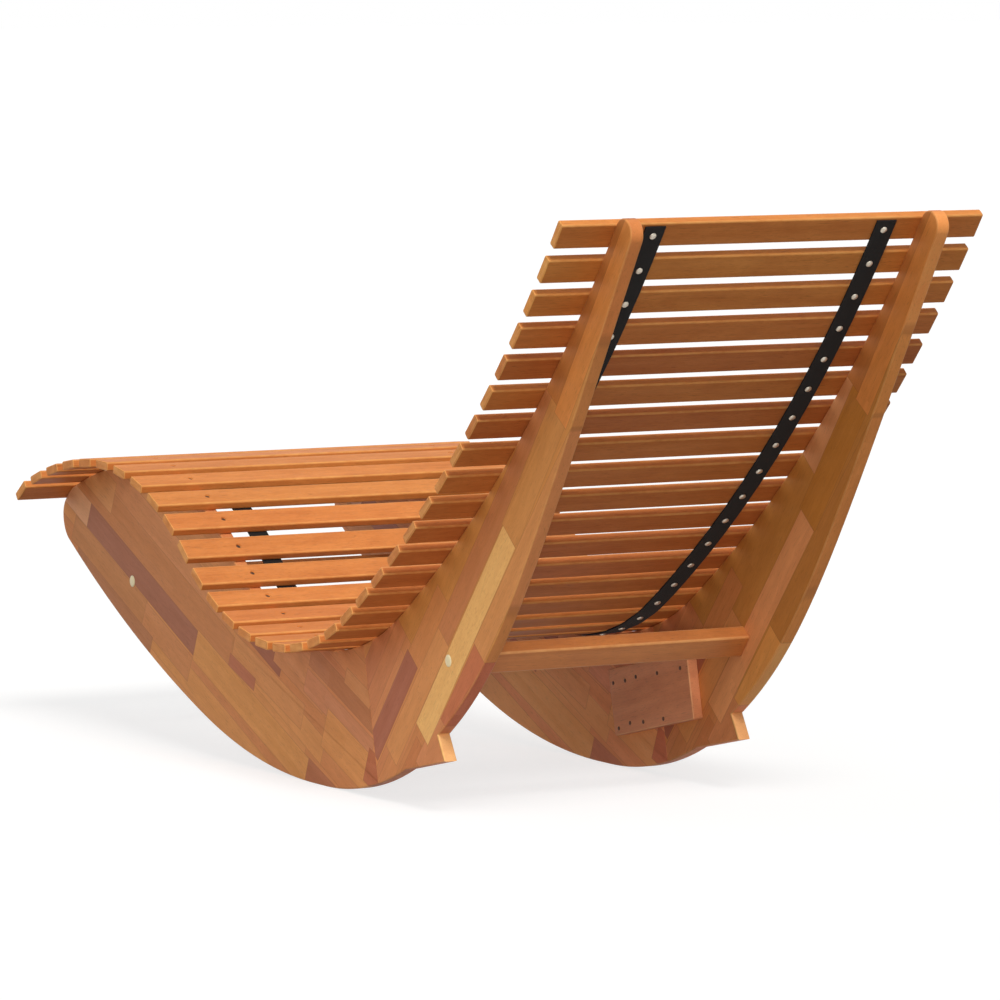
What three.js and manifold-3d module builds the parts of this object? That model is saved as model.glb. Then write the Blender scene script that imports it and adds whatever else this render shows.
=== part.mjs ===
// Rocking chaise lounge: narrow slats laid across two shaped side frames whose undersides are rockers.
// Millimetres, +Z up. The foot end points towards -Y, the head towards +Y, the sitter's left is +X.
// Outlines are drawn in the side plane as Vector2 points that hold (y, z).

import * as THREE from 'three';
import { mergeVertices } from 'three/addons/utils/BufferGeometryUtils.js';
import Module from 'manifold-3d';

const wasm = await Module();
wasm.setup();

const degree = Math.PI / 180;
const quarterTurn = Math.PI / 2;

// Clearances
const seatGap = 0.3; // between pieces that touch
const cutOverrun = 2; // how far a cutting tool runs past what it cuts

// Slats
const slatCount = 35;
const slatLong = 600; // across the chair
const slatWide = 36; // along the seat
const slatThick = 12;
const slatEase = 2.5; // rounding of the long edges
const slatEndEase = 1.2; // chamfer round the ends
const hollowFirst = 13; // slats 13 to 23, in the seat hollow, lie closer together than the others
const hollowLast = 23;
const hollowPitch = 50.8;

// Seat edge of the side frames, from the lowest point of the seat, the valley
const valleyHeight = 180.7;
const valleyRadius = 393;
const loinTurn = 33 * degree; // valley up to the back
const backRadius = 2020;
const backTurn = 21.58 * degree;
const thighTurn = 41.5 * degree; // valley up to the knee
const kneeRadius = 404;
const kneeTurn = 44.6 * degree;
const calfRadius = 651;
const calfTurn = 18.3 * degree;
const shoulderRadius = 85; // last slat's seat, where the edge rolls into the nose
const shoulderTurn = 27 * degree;
const crownRadius = 19.4;

// Foot nose, below the end of the seat edge
const noseDrop = 55;
const noseBack = 11;
const noseHandleShare = 0.37;

// Rocker
const lowPointAhead = 11; // the chair's balance point, ahead of the valley
const contactFlat = 24;
const rockerRadius = 984;
const rockerFrontTurn = 19.2 * degree;
const rockerRearTurn = 0.8 * degree;
const tailRadius = 530;
const tailTurn = 23.8 * degree;

// Heel, a short foot behind the rocker
const heelLong = 109.7;
const heelSlope = 12 * degree;
const heelFaceTall = 37.4;
const heelFaceLean = 30.5 * degree; // from upright, towards the foot end

// Rear edge, from the heel up to the crown
const rearEdgeTopSlope = 58.4 * degree;
const rearEdgeHeelSlope = 33.9 * degree;
const rearEdgeTopShare = 0.575;
const rearEdgeHeelShare = 0.243;

// Side frame boards
const frameSpread = 453; // between the outer faces of the two frames
const frameThick = 18;
const frameEase = 2;
const mitreBehindValley = 118; // along the seat edge
const mitreLean = 12.6 * degree; // from upright, the foot of the joint towards the heel

// Gussets behind the mitres
const gussetLong = 208;
const gussetTall = 89;
const gussetThick = 15;
const gussetEase = 1.5;

// Stretchers
const stretcherWide = 36;
const stretcherThick = 22;
const stretcherEase = 3;
const frontStretcherLean = -27 * degree;
const rearStretcherLean = 52 * degree;
const frontBoltInset = 64.3; // in from the underside
const frontBoltShare = 0.572; // along the straight part of the underside, from the rocker
const rearBoltInset = 60.5; // in from the rear edge
const rearBoltRise = 85.5; // along the rear edge, up from the heel

// Connector bolts, barrel nuts and caps
const boltRadius = 3;
const boltHeadRadius = 6;
const boltHeadThick = 3.5;
const boltPast = 4; // length past the barrel nut
const boltChamfer = 0.6;
const socketRadius = 2.3;
const socketDeep = 2.2;
const barrelRadius = 5;
const barrelLong = 16;
const barrelInset = 30; // from the stretcher's end
const capRadius = 8;
const capProud = 0.8;
const capDomeShare = 0.75; // flat part of a cap's face, of its radius
const counterboreDeep = 7.5;

// Webbing straps
const strapWide = 28;
const strapThick = 1.8;
const leftStrapFromFrame = 38.5; // strap centre, in from the frame's inner face
const rightStrapFromFrame = 49.5;
const strapEndIn = 4; // from the outer edges of the first and last slats

// Facets
const seatStep = 16;
const rockerStep = 14;
const undersideStep = 30;
const tightStep = 9;
const rearEdgeSteps = 22;
const noseSteps = 7;
const roundSides = 24;
const cornerSteps = 2;

// Sizes worked out from the ones above
const outerFace = frameSpread / 2;
const innerFace = outerFace - frameThick;

// Points and lines in the side plane

function stepFrom(point, heading, distance) {
  const move = new THREE.Vector2(Math.cos(heading), Math.sin(heading));
  return point.clone().addScaledVector(move, distance);
}

// An arc leaves a point at a heading and turns to the left, or to the right if its turn is negative.
function arcPoints(from, heading, { radius, turn, step }) {
  const side = Math.sign(turn) * quarterTurn;
  const centre = stepFrom(from, heading + side, radius);
  const count = Math.max(1, Math.round(radius * Math.abs(turn) / step));
  const points = [];
  for (let i = 1; i <= count; i++) {
    points.push(stepFrom(centre, heading - side + turn * i / count, radius));
  }
  return points;
}

// A run is a chain of arcs, each tangent to the one before it.
function makeRun(start, heading, arcs) {
  const points = [start];
  let facing = heading;
  for (const piece of arcs) {
    points.push(...arcPoints(points.at(-1), facing, piece));
    facing += piece.turn;
  }
  return { points, end: points.at(-1), heading: facing };
}

// The one arc that leaves a run tangentially and ends at a given point.
function arcTo(run, target, step) {
  const chord = target.clone().sub(run.end);
  const half = Math.atan2(chord.y, chord.x) - run.heading;
  const swing = Math.atan2(Math.sin(half), Math.cos(half));
  const radius = chord.length() / (2 * Math.sin(Math.abs(swing)));
  return makeRun(run.end, run.heading, [{ radius, turn: 2 * swing, step }]);
}

// A smooth curve between two points whose headings are known.
function blendPoints(from, fromHeading, fromShare, to, toHeading, toShare, steps) {
  const chord = from.distanceTo(to);
  const curve = new THREE.CubicBezierCurve(
    from,
    stepFrom(from, fromHeading, fromShare * chord),
    stepFrom(to, toHeading, -toShare * chord),
    to,
  );
  return curve.getPoints(steps);
}

// The place at a distance along a line of points, and the heading there.
function walk(points, distance) {
  let left = distance;
  let i = 1;
  while (i < points.length - 1 && left > points[i].distanceTo(points[i - 1])) {
    left -= points[i].distanceTo(points[i - 1]);
    i += 1;
  }
  const heading = Math.atan2(points[i].y - points[i - 1].y, points[i].x - points[i - 1].x);
  return { at: stepFrom(points[i - 1], heading, left), heading };
}

function lengthOf(points) {
  let total = 0;
  for (let i = 1; i < points.length; i++) total += points[i].distanceTo(points[i - 1]);
  return total;
}

// Seat edge: from the valley up the back first, to find the head end, then the whole run to the nose
const valley = new THREE.Vector2(0, valleyHeight);
const backRun = makeRun(valley, 0, [
  { radius: valleyRadius, turn: loinTurn, step: seatStep },
  { radius: backRadius, turn: backTurn, step: seatStep },
]);
const seatFromHead = makeRun(backRun.end, backRun.heading + Math.PI, [
  { radius: backRadius, turn: -backTurn, step: seatStep },
  { radius: valleyRadius, turn: -loinTurn, step: seatStep },
]);
const seatToFoot = makeRun(seatFromHead.end, seatFromHead.heading, [
  { radius: valleyRadius, turn: -thighTurn, step: seatStep },
  { radius: kneeRadius, turn: kneeTurn, step: seatStep },
  { radius: calfRadius, turn: calfTurn, step: seatStep },
  { radius: shoulderRadius, turn: shoulderTurn, step: tightStep },
]);
const seatPoints = [...seatFromHead.points, ...seatToFoot.points.slice(1)];
const seatLength = lengthOf(seatPoints);
const valleyDistance = lengthOf(seatFromHead.points);

// Underside: the rocker forward to the nose and back to the heel, from a short flat at the balance point
const lowPoint = new THREE.Vector2(-lowPointAhead, 0);
const rockerFront = makeRun(stepFrom(lowPoint, Math.PI, contactFlat / 2), Math.PI, [
  { radius: rockerRadius, turn: -rockerFrontTurn, step: rockerStep },
]);
const rockerRear = makeRun(stepFrom(lowPoint, 0, contactFlat / 2), 0, [
  { radius: rockerRadius, turn: rockerRearTurn, step: rockerStep },
  { radius: tailRadius, turn: tailTurn, step: rockerStep },
]);
const noseBottom = seatToFoot.end.clone().add(new THREE.Vector2(noseBack, -noseDrop));
const frontUnderside = arcTo(rockerFront, noseBottom, undersideStep);
const nosePoints = blendPoints(
  seatToFoot.end, seatToFoot.heading, noseHandleShare,
  noseBottom, frontUnderside.heading + Math.PI, noseHandleShare, noseSteps,
);

// Heel, rear edge and crown
const heelCorner = stepFrom(rockerRear.end, heelSlope, heelLong);
const heelTop = stepFrom(heelCorner, quarterTurn + heelFaceLean, heelFaceTall);
const crownCentre = stepFrom(backRun.end, backRun.heading - quarterTurn, crownRadius);
const crownRear = stepFrom(crownCentre, rearEdgeTopSlope - quarterTurn, crownRadius);
const rearEdge = blendPoints(
  heelTop, rearEdgeHeelSlope, rearEdgeHeelShare,
  crownRear, rearEdgeTopSlope, rearEdgeTopShare, rearEdgeSteps,
);
const crownTurn = backRun.heading + Math.PI - rearEdgeTopSlope;
const crownPoints = arcPoints(crownRear, rearEdgeTopSlope, {
  radius: crownRadius, turn: crownTurn, step: tightStep,
});

const frameOutline = [
  ...seatPoints,
  ...nosePoints.slice(1, -1),
  ...[...rockerFront.points, ...frontUnderside.points.slice(1)].reverse(),
  ...rockerRear.points,
  heelCorner,
  ...rearEdge,
  ...crownPoints.slice(0, -1),
];

// Mitre between the two boards of a frame, and the bolt places
const mitreTop = walk(seatPoints, valleyDistance - mitreBehindValley).at;
const mitreDown = mitreLean - quarterTurn;
const mitreBottom = lineMeets(mitreTop, mitreDown, rockerRear.points);
const mitreMiddle = mitreTop.clone().lerp(mitreBottom, 0.5);
const frontFoot = walk(frontUnderside.points, frontBoltShare * lengthOf(frontUnderside.points));
const frontBolt = stepFrom(frontFoot.at, frontFoot.heading - quarterTurn, frontBoltInset);
const rearFoot = walk(rearEdge, rearBoltRise);
const rearBolt = stepFrom(rearFoot.at, rearFoot.heading + quarterTurn, rearBoltInset);

// Where a straight line from a point crosses a line of points.
function lineMeets(from, heading, points) {
  const across = (point) => {
    const offset = point.clone().sub(from);
    return offset.x * Math.sin(heading) - offset.y * Math.cos(heading);
  };
  for (let i = 1; i < points.length; i++) {
    const before = across(points[i - 1]);
    const after = across(points[i]);
    if (before * after <= 0) return points[i - 1].clone().lerp(points[i], before / (before - after));
  }
  return points.at(-1);
}

// Solids

// Turns a shape drawn in the side plane and extruded upwards so that it is extruded across the chair.
const acrossChair = new THREE.Matrix4().makeBasis(
  new THREE.Vector3(0, 1, 0),
  new THREE.Vector3(0, 0, 1),
  new THREE.Vector3(1, 0, 0),
);

// A bar across the chair from one x to another, with its end edges chamfered.
function barAcross(outline, fromX, toX, ease) {
  const geometry = new THREE.ExtrudeGeometry(new THREE.Shape(outline), {
    depth: toX - fromX - 2 * ease,
    steps: 1,
    bevelEnabled: ease > 0,
    bevelThickness: ease,
    bevelSize: ease,
    bevelOffset: -ease,
    bevelSegments: 1,
  });
  return geometry.applyMatrix4(acrossChair).translate(fromX + ease, 0, 0);
}

// A rectangle about the origin with rounded corners.
function easedRectangle(wide, tall, ease) {
  const points = [];
  const corners = [[1, 1], [-1, 1], [-1, -1], [1, -1]];
  corners.forEach(([sideY, sideZ], quarter) => {
    const centre = new THREE.Vector2(sideY * (wide / 2 - ease), sideZ * (tall / 2 - ease));
    for (let i = 0; i <= cornerSteps; i++) {
      points.push(stepFrom(centre, (quarter + i / cornerSteps) * quarterTurn, ease));
    }
  });
  return points;
}

// A round bar along x about the origin, between two places on x.
function roundAlongX(radius, fromX, toX, sides = roundSides) {
  const geometry = new THREE.CylinderGeometry(radius, radius, toX - fromX, sides);
  return geometry.rotateZ(quarterTurn).translate((fromX + toX) / 2, 0, 0);
}

// Moves a piece drawn about the origin to a place in the side plane.
function moveTo(geometry, place, lean = 0) {
  return geometry.rotateX(lean).translate(0, place.x, place.y);
}

function toSolid(geometry) {
  geometry.deleteAttribute('normal');
  geometry.deleteAttribute('uv');
  const merged = mergeVertices(geometry);
  return new wasm.Manifold(new wasm.Mesh({
    numProp: 3,
    vertProperties: merged.attributes.position.array,
    triVerts: Uint32Array.from(merged.index.array),
  }));
}

function toGeometry(solid) {
  const mesh = solid.getMesh();
  const geometry = new THREE.BufferGeometry();
  geometry.setAttribute('position', new THREE.BufferAttribute(mesh.vertProperties, mesh.numProp));
  geometry.setIndex(new THREE.BufferAttribute(mesh.triVerts, 1));
  geometry.computeVertexNormals();
  return geometry;
}

// Finishes
const finishes = {
  slatWood: { color: 0xa3663a, roughness: 0.45, metalness: 0 },
  frameWood: { color: 0xac6d3e, roughness: 0.5, metalness: 0 },
  capWood: { color: 0xeacb9c, roughness: 0.55, metalness: 0 },
  webbing: { color: 0x1c1816, roughness: 0.85, metalness: 0 },
  steel: { color: 0x9d9c98, roughness: 0.35, metalness: 1 },
};

const chair = new THREE.Group();

function addPiece(name, finish, geometry) {
  const mesh = new THREE.Mesh(geometry, new THREE.MeshStandardMaterial(finishes[finish]));
  mesh.name = name;
  chair.add(mesh);
  return mesh;
}

// Slats: each lies flat on the seat edge, on the chord between its own two edges
const hollowSpaces = hollowLast - hollowFirst;
const otherSpaces = slatCount - 1 - hollowSpaces;
const otherPitch = (seatLength - slatWide - hollowSpaces * hollowPitch) / otherSpaces;

function slatSeat(index) {
  const inHollow = THREE.MathUtils.clamp(index + 1 - hollowFirst, 0, hollowSpaces);
  const from = inHollow * hollowPitch + (index - inHollow) * otherPitch;
  const head = walk(seatPoints, from).at;
  const foot = walk(seatPoints, from + slatWide).at;
  const along = foot.clone().sub(head).normalize();
  const up = new THREE.Vector2(along.y, -along.x);
  let bulge = 0;
  for (const point of seatPoints) {
    const offset = point.clone().sub(head);
    const reach = offset.dot(along);
    if (reach > 0 && reach < slatWide) bulge = Math.max(bulge, offset.dot(up));
  }
  const rise = bulge + seatGap;
  return {
    up,
    headBottom: head.clone().addScaledVector(up, rise),
    footBottom: foot.clone().addScaledVector(up, rise),
  };
}

const slatSeats = Array.from({ length: slatCount }, (_, index) => slatSeat(index));

function addSlats() {
  const section = easedRectangle(slatWide, slatThick, slatEase);
  slatSeats.forEach((seat, index) => {
    const bar = barAcross(section, -slatLong / 2, slatLong / 2, slatEndEase);
    const slat = addPiece(`slat_${String(index + 1).padStart(2, '0')}`, 'slatWood', bar);
    const middle = seat.headBottom.clone().lerp(seat.footBottom, 0.5);
    middle.addScaledVector(seat.up, slatThick / 2);
    slat.position.set(0, middle.x, middle.y);
    slat.rotation.x = Math.atan2(seat.up.y, seat.up.x) - quarterTurn;
  });
}

// Straps: a ribbon under the slats, flat on each of them and straight across the gaps
function strapOutline() {
  const top = [];
  const bottom = [];
  slatSeats.forEach((seat, index) => {
    const headIn = index === 0 ? strapEndIn : 0;
    const footIn = index === slatCount - 1 ? strapEndIn : 0;
    const along = seat.footBottom.clone().sub(seat.headBottom).normalize();
    const ends = [
      seat.headBottom.clone().addScaledVector(along, headIn),
      seat.footBottom.clone().addScaledVector(along, -footIn),
    ];
    for (const end of ends) {
      top.push(end.clone().addScaledVector(seat.up, -seatGap));
      bottom.push(end.clone().addScaledVector(seat.up, -seatGap - strapThick));
    }
  });
  return [...top, ...bottom.reverse()];
}

// Boards: a whole side frame is cut in two at the mitre and bored for its two bolts
function mitreHalf(direction) {
  const reach = 2 * (seatLength + valleyHeight);
  const box = new THREE.BoxGeometry(frameSpread + cutOverrun, reach, reach);
  const away = direction * (reach / 2 + seatGap / 2);
  return toSolid(moveTo(box, stepFrom(mitreMiddle, mitreLean, away), mitreLean));
}

function boltCuts(side, place) {
  const shankEnds = [innerFace - cutOverrun, outerFace + cutOverrun];
  const headEnds = [outerFace - counterboreDeep, outerFace + cutOverrun];
  const cuts = [
    roundAlongX(boltRadius + seatGap, ...shankEnds),
    roundAlongX(capRadius + seatGap, ...headEnds),
  ];
  const [shank, head] = cuts.map((cut) => {
    return toSolid(moveTo(side > 0 ? cut : cut.rotateZ(Math.PI), place));
  });
  return shank.add(head);
}

function addBoards(sideName, side) {
  const ends = [side * innerFace, side * outerFace].sort((a, b) => a - b);
  const whole = toSolid(barAcross(frameOutline, ...ends, frameEase));
  const front = whole.intersect(mitreHalf(-1)).subtract(boltCuts(side, frontBolt));
  const rear = whole.intersect(mitreHalf(1)).subtract(boltCuts(side, rearBolt));
  addPiece(`${sideName}_front_board`, 'frameWood', toGeometry(front));
  addPiece(`${sideName}_rear_board`, 'frameWood', toGeometry(rear));
}

// Gussets: a plate across the mitre, on the inner face
function addGusset(sideName, side) {
  const near = side * (innerFace - seatGap);
  const ends = [near, near - side * gussetThick].sort((a, b) => a - b);
  const plate = barAcross(easedRectangle(gussetLong, gussetTall, gussetEase), ...ends, gussetEase);
  const gusset = addPiece(`${sideName}_gusset`, 'frameWood', plate);
  gusset.position.set(0, mitreMiddle.x, mitreMiddle.y);
  gusset.rotation.x = mitreLean;
}

// Stretchers: an eased bar with a bolt bore in each end and a blind cross bore for each barrel nut
const stretcherEnd = innerFace - seatGap;
const barrelX = stretcherEnd - barrelInset;
const boltTip = barrelX - barrelRadius - boltPast;

function addStretcher(name, place, lean) {
  const section = easedRectangle(stretcherWide, stretcherThick, stretcherEase);
  let bar = toSolid(barAcross(section, -stretcherEnd, stretcherEnd, stretcherEase));
  const crossDeep = stretcherThick / 2 + barrelLong / 2 + seatGap;
  for (const side of [1, -1]) {
    const ends = [side * (boltTip - cutOverrun), side * (stretcherEnd + cutOverrun)];
    const bore = roundAlongX(boltRadius + seatGap, ...ends.sort((a, b) => a - b));
    const cross = new THREE.CylinderGeometry(
      barrelRadius + seatGap, barrelRadius + seatGap, crossDeep + cutOverrun, roundSides,
    );
    cross.rotateX(quarterTurn);
    cross.translate(side * barrelX, 0, (stretcherThick + cutOverrun - crossDeep) / 2);
    bar = bar.subtract(toSolid(bore)).subtract(toSolid(cross));
  }
  const stretcher = addPiece(name, 'frameWood', toGeometry(bar));
  stretcher.position.set(0, place.x, place.y);
  stretcher.rotation.x = lean;
}

// Connector bolt with a hexagon socket, drawn along +X with its head outwards
function boltGeometry() {
  const headSeat = outerFace - counterboreDeep + seatGap;
  const headTop = headSeat + boltHeadThick;
  const profile = [
    [0, boltTip],
    [boltRadius - boltChamfer, boltTip],
    [boltRadius, boltTip + boltChamfer],
    [boltRadius, headSeat],
    [boltHeadRadius, headSeat],
    [boltHeadRadius, headTop - boltChamfer],
    [boltHeadRadius - boltChamfer, headTop],
    [0, headTop],
  ].map(([radius, height]) => new THREE.Vector2(radius, height));
  const bolt = new THREE.LatheGeometry(profile, roundSides).rotateZ(-quarterTurn);
  const socket = roundAlongX(socketRadius, headTop - socketDeep, headTop + cutOverrun, 6);
  return toGeometry(toSolid(bolt).subtract(toSolid(socket)));
}

// Barrel nut, across the stretcher, with the bolt's hole through it
function barrelGeometry() {
  const nut = new THREE.CylinderGeometry(barrelRadius, barrelRadius, barrelLong, roundSides);
  nut.rotateX(quarterTurn).translate(barrelX, 0, 0);
  const reach = barrelRadius + cutOverrun;
  const hole = roundAlongX(boltRadius + seatGap, barrelX - reach, barrelX + reach);
  return toGeometry(toSolid(nut).subtract(toSolid(hole)));
}

// Cap: a plug over the bolt head with a slightly domed face
function capGeometry() {
  const capBack = outerFace - counterboreDeep + boltHeadThick + 2 * seatGap;
  const profile = [
    [0, capBack],
    [capRadius, capBack],
    [capRadius, outerFace],
    [capRadius * capDomeShare, outerFace + capProud],
    [0, outerFace + capProud],
  ].map(([radius, height]) => new THREE.Vector2(radius, height));
  return new THREE.LatheGeometry(profile, roundSides).rotateZ(-quarterTurn);
}

function addFixings(sideName, side, endName, place, lean) {
  const parts = [
    ['bolt', 'steel', boltGeometry()],
    ['barrel_nut', 'steel', barrelGeometry()],
    ['cap', 'capWood', capGeometry()],
  ];
  for (const [label, finish, geometry] of parts) {
    const piece = addPiece(`${sideName}_${endName}_${label}`, finish, geometry);
    piece.position.set(0, place.x, place.y);
    piece.rotation.set(lean, 0, side > 0 ? 0 : Math.PI);
  }
}

// The whole chair
addSlats();
addStretcher('front_stretcher', frontBolt, frontStretcherLean);
addStretcher('rear_stretcher', rearBolt, rearStretcherLean);
const ribbon = strapOutline();
const sides = [
  ['left', 1, leftStrapFromFrame],
  ['right', -1, rightStrapFromFrame],
];
for (const [sideName, side, strapFromFrame] of sides) {
  addBoards(sideName, side);
  addGusset(sideName, side);
  const strapX = side * (innerFace - strapFromFrame);
  const strap = barAcross(ribbon, strapX - strapWide / 2, strapX + strapWide / 2, 0);
  addPiece(`${sideName}_strap`, 'webbing', strap);
  addFixings(sideName, side, 'front', frontBolt, frontStretcherLean);
  addFixings(sideName, side, 'rear', rearBolt, rearStretcherLean);
}

// The chair stands on the floor, with its length centred on the origin.
const bounds = new THREE.Box3().setFromObject(chair, true);
chair.position.y = -(bounds.min.y + bounds.max.y) / 2;

export default chair;
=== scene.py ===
import math

import bpy
import numpy as np
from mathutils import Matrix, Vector


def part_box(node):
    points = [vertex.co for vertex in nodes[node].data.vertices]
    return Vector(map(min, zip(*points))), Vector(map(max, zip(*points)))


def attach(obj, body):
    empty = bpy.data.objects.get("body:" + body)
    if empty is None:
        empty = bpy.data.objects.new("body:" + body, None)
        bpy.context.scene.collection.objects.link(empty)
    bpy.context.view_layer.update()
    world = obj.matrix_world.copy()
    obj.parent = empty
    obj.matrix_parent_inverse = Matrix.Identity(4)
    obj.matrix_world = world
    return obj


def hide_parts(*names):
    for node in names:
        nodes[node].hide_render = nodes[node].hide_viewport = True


# Rocking chaise lounge. Metres, +Z up, foot end towards -Y, head towards +Y, sitter's left +X.
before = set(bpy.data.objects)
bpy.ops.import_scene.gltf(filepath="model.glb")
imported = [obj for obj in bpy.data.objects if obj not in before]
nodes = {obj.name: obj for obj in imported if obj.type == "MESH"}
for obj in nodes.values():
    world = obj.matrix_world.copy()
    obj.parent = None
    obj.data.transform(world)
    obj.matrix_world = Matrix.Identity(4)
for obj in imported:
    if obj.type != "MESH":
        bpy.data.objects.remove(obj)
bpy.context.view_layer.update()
scene = bpy.context.scene
sides = {"left": 1, "right": -1}
ends = {"front": -1, "rear": 1}
print("frame loaded:", len(nodes), "nodes")

# Camera, at the photograph's angle
cameraSizes = {
    "place": (3.9178, 7.05515, 1.11065),
    "pitchDown": 5.270,
    "yaw": 150.706,
    "lens": 220.17,
    "sensor": 36.0,
    "clip": (0.1, 400.0),
}


def makeCamera():
    data = bpy.data.cameras.new("camera")
    data.lens, data.sensor_width = cameraSizes["lens"], cameraSizes["sensor"]
    data.clip_start, data.clip_end = cameraSizes["clip"]
    camera = bpy.data.objects.new("camera", data)
    camera.location = cameraSizes["place"]
    pitch = math.radians(90 - cameraSizes["pitchDown"])
    camera.rotation_euler = (pitch, 0, math.radians(cameraSizes["yaw"]))
    scene.collection.objects.link(camera)
    scene.camera = camera


makeCamera()
print("camera placed")


# Node helpers. A value is a plain number or colour, or a socket of another node.
def feed(sockets, values):
    for key, value in values.items():
        if isinstance(value, bpy.types.NodeSocket):
            value.id_data.links.new(value, sockets[key])
        else:
            sockets[key].default_value = value


def addNode(tree, kind, inputs=None, **settings):
    node = tree.nodes.new(kind)
    for key, value in settings.items():
        setattr(node, key, value)
    feed(node.inputs, inputs or {})
    return node


# A node in the tree of the first socket among its inputs
def joinNode(kind, inputs, **settings):
    sockets = [value for value in inputs.values() if isinstance(value, bpy.types.NodeSocket)]
    return addNode(sockets[0].id_data, kind, inputs, **settings)


def calc(operation, *values, clamp=False):
    inputs = dict(enumerate(values))
    return joinNode("ShaderNodeMath", inputs, operation=operation, use_clamp=clamp).outputs[0]


def plus(first, second):
    return calc("ADD", first, second)


def minus(first, second, clamp=False):
    return calc("SUBTRACT", first, second, clamp=clamp)


def times(first, second, clamp=False):
    return calc("MULTIPLY", first, second, clamp=clamp)


def vectorCalc(operation, first, second):
    return joinNode("ShaderNodeVectorMath", {0: first, 1: second}, operation=operation).outputs[0]


def combine(x, y, z):
    return joinNode("ShaderNodeCombineXYZ", {0: x, 1: y, 2: z}).outputs[0]


def separate(vector):
    return joinNode("ShaderNodeSeparateXYZ", {0: vector}).outputs


def readAttribute(tree, name, output="Fac"):
    return addNode(tree, "ShaderNodeAttribute", attribute_name=name).outputs[output]


# value runs from one range to another, held at the ends
def remap(value, low, high, toLow=0.0, toHigh=1.0):
    inputs = {"Value": value, "From Min": low, "From Max": high, "To Min": toLow, "To Max": toHigh}
    return joinNode("ShaderNodeMapRange", inputs).outputs[0]


def mixColour(share, first, second, blend="MIX", clamp=False):
    inputs = {0: share, 6: first, 7: second}
    return joinNode("ShaderNodeMix", inputs, data_type="RGBA", blend_type=blend,
                    clamp_result=clamp).outputs[2]


def tinted(base, tint, clamp=False):
    return mixColour(1.0, base, tint, "MULTIPLY", clamp)


# Noise between 0 and 1 at a place, which stretch multiplies axis by axis. The levels, if given,
# are what remap draws it out from, and to.
def noise(place, stretch=None, scale=1.0, detail=2.0, roughness=0.5, levels=None):
    if stretch:
        place = vectorCalc("MULTIPLY", place, stretch)
    inputs = {"Vector": place, "Scale": scale, "Detail": detail, "Roughness": roughness}
    value = joinNode("ShaderNodeTexNoise", inputs).outputs[0]
    return remap(value, *levels) if levels else value


origin, white, black = (0, 0, 0), (1, 1, 1, 1), (0, 0, 0, 1)


# Red, green and blue levels with full alpha
def opaque(levels):
    return (*levels, 1.0)


# Screen colour #RRGGBB to the linear colour that the shaders take
def colour(code):
    levels = np.array([int(code[i:i + 2], 16) for i in (1, 3, 5)]) / 255
    linear = np.where(levels <= 0.04045, levels / 12.92, ((levels + 0.055) / 1.055) ** 2.4)
    return opaque(float(level) for level in linear)


# Shader groups. A number, a place of three or a colour of four values sets an input's kind.
def newGroup(name, inputs):
    group = bpy.data.node_groups.new(name, "ShaderNodeTree")
    kinds = {1: "NodeSocketFloat", 3: "NodeSocketVector", 4: "NodeSocketColor"}
    for label, value in inputs.items():
        kind = kinds[np.size(value)]
        socket = group.interface.new_socket(label, in_out="INPUT", socket_type=kind)
        socket.default_value = value
    return group, group.nodes.new("NodeGroupInput").outputs


def endGroup(group, outputs):
    kinds = {"VALUE": "NodeSocketFloat", "VECTOR": "NodeSocketVector", "RGBA": "NodeSocketColor"}
    for label, value in outputs.items():
        group.interface.new_socket(label, in_out="OUTPUT", socket_type=kinds[value.type])
    feed(group.nodes.new("NodeGroupOutput").inputs, outputs)
    return group


def useGroup(group, inputs):
    return joinNode("ShaderNodeGroup", inputs, node_tree=group).outputs


# Wood grain along the first axis of Along: wavy streaks, fine fibres, cloudy patches with flecks,
# and short dark pores
grainLook = {
    "seedStep": 3.7,
    "slow": {"stretch": (3.0, 14.0, 14.0)},
    "sway": 0.03,
    "broad": {"stretch": (2.4, 55.0, 45.0), "detail": 4.0, "roughness": 0.6, "levels": (0.3, 0.7)},
    "broadShare": 0.65,
    "fibre": {"stretch": (9.0, 620.0, 500.0), "detail": 3.0, "roughness": 0.6},
    "fibreLevels": (0.25, 0.75),
    "fibreShare": 0.35,
    "fibreHeight": 0.5,
    "patches": {"stretch": (22.0, 60.0, 60.0), "detail": 3.0, "roughness": 0.6},
    "cloudLevels": (0.3, 0.7),
    "cloudShare": 0.4,
    "streakShare": 0.6,
    "flecks": {"stretch": (170.0, 520.0, 520.0), "levels": (0.5, 0.72)},
    "fleckPatches": (0.35, 0.65),
    "pores": {"stretch": (55.0, 1500.0, 1500.0), "detail": 1.0, "levels": (0.62, 0.72)},
    "poreDepths": (0.02, 0.01, 0.005),
}


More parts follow.
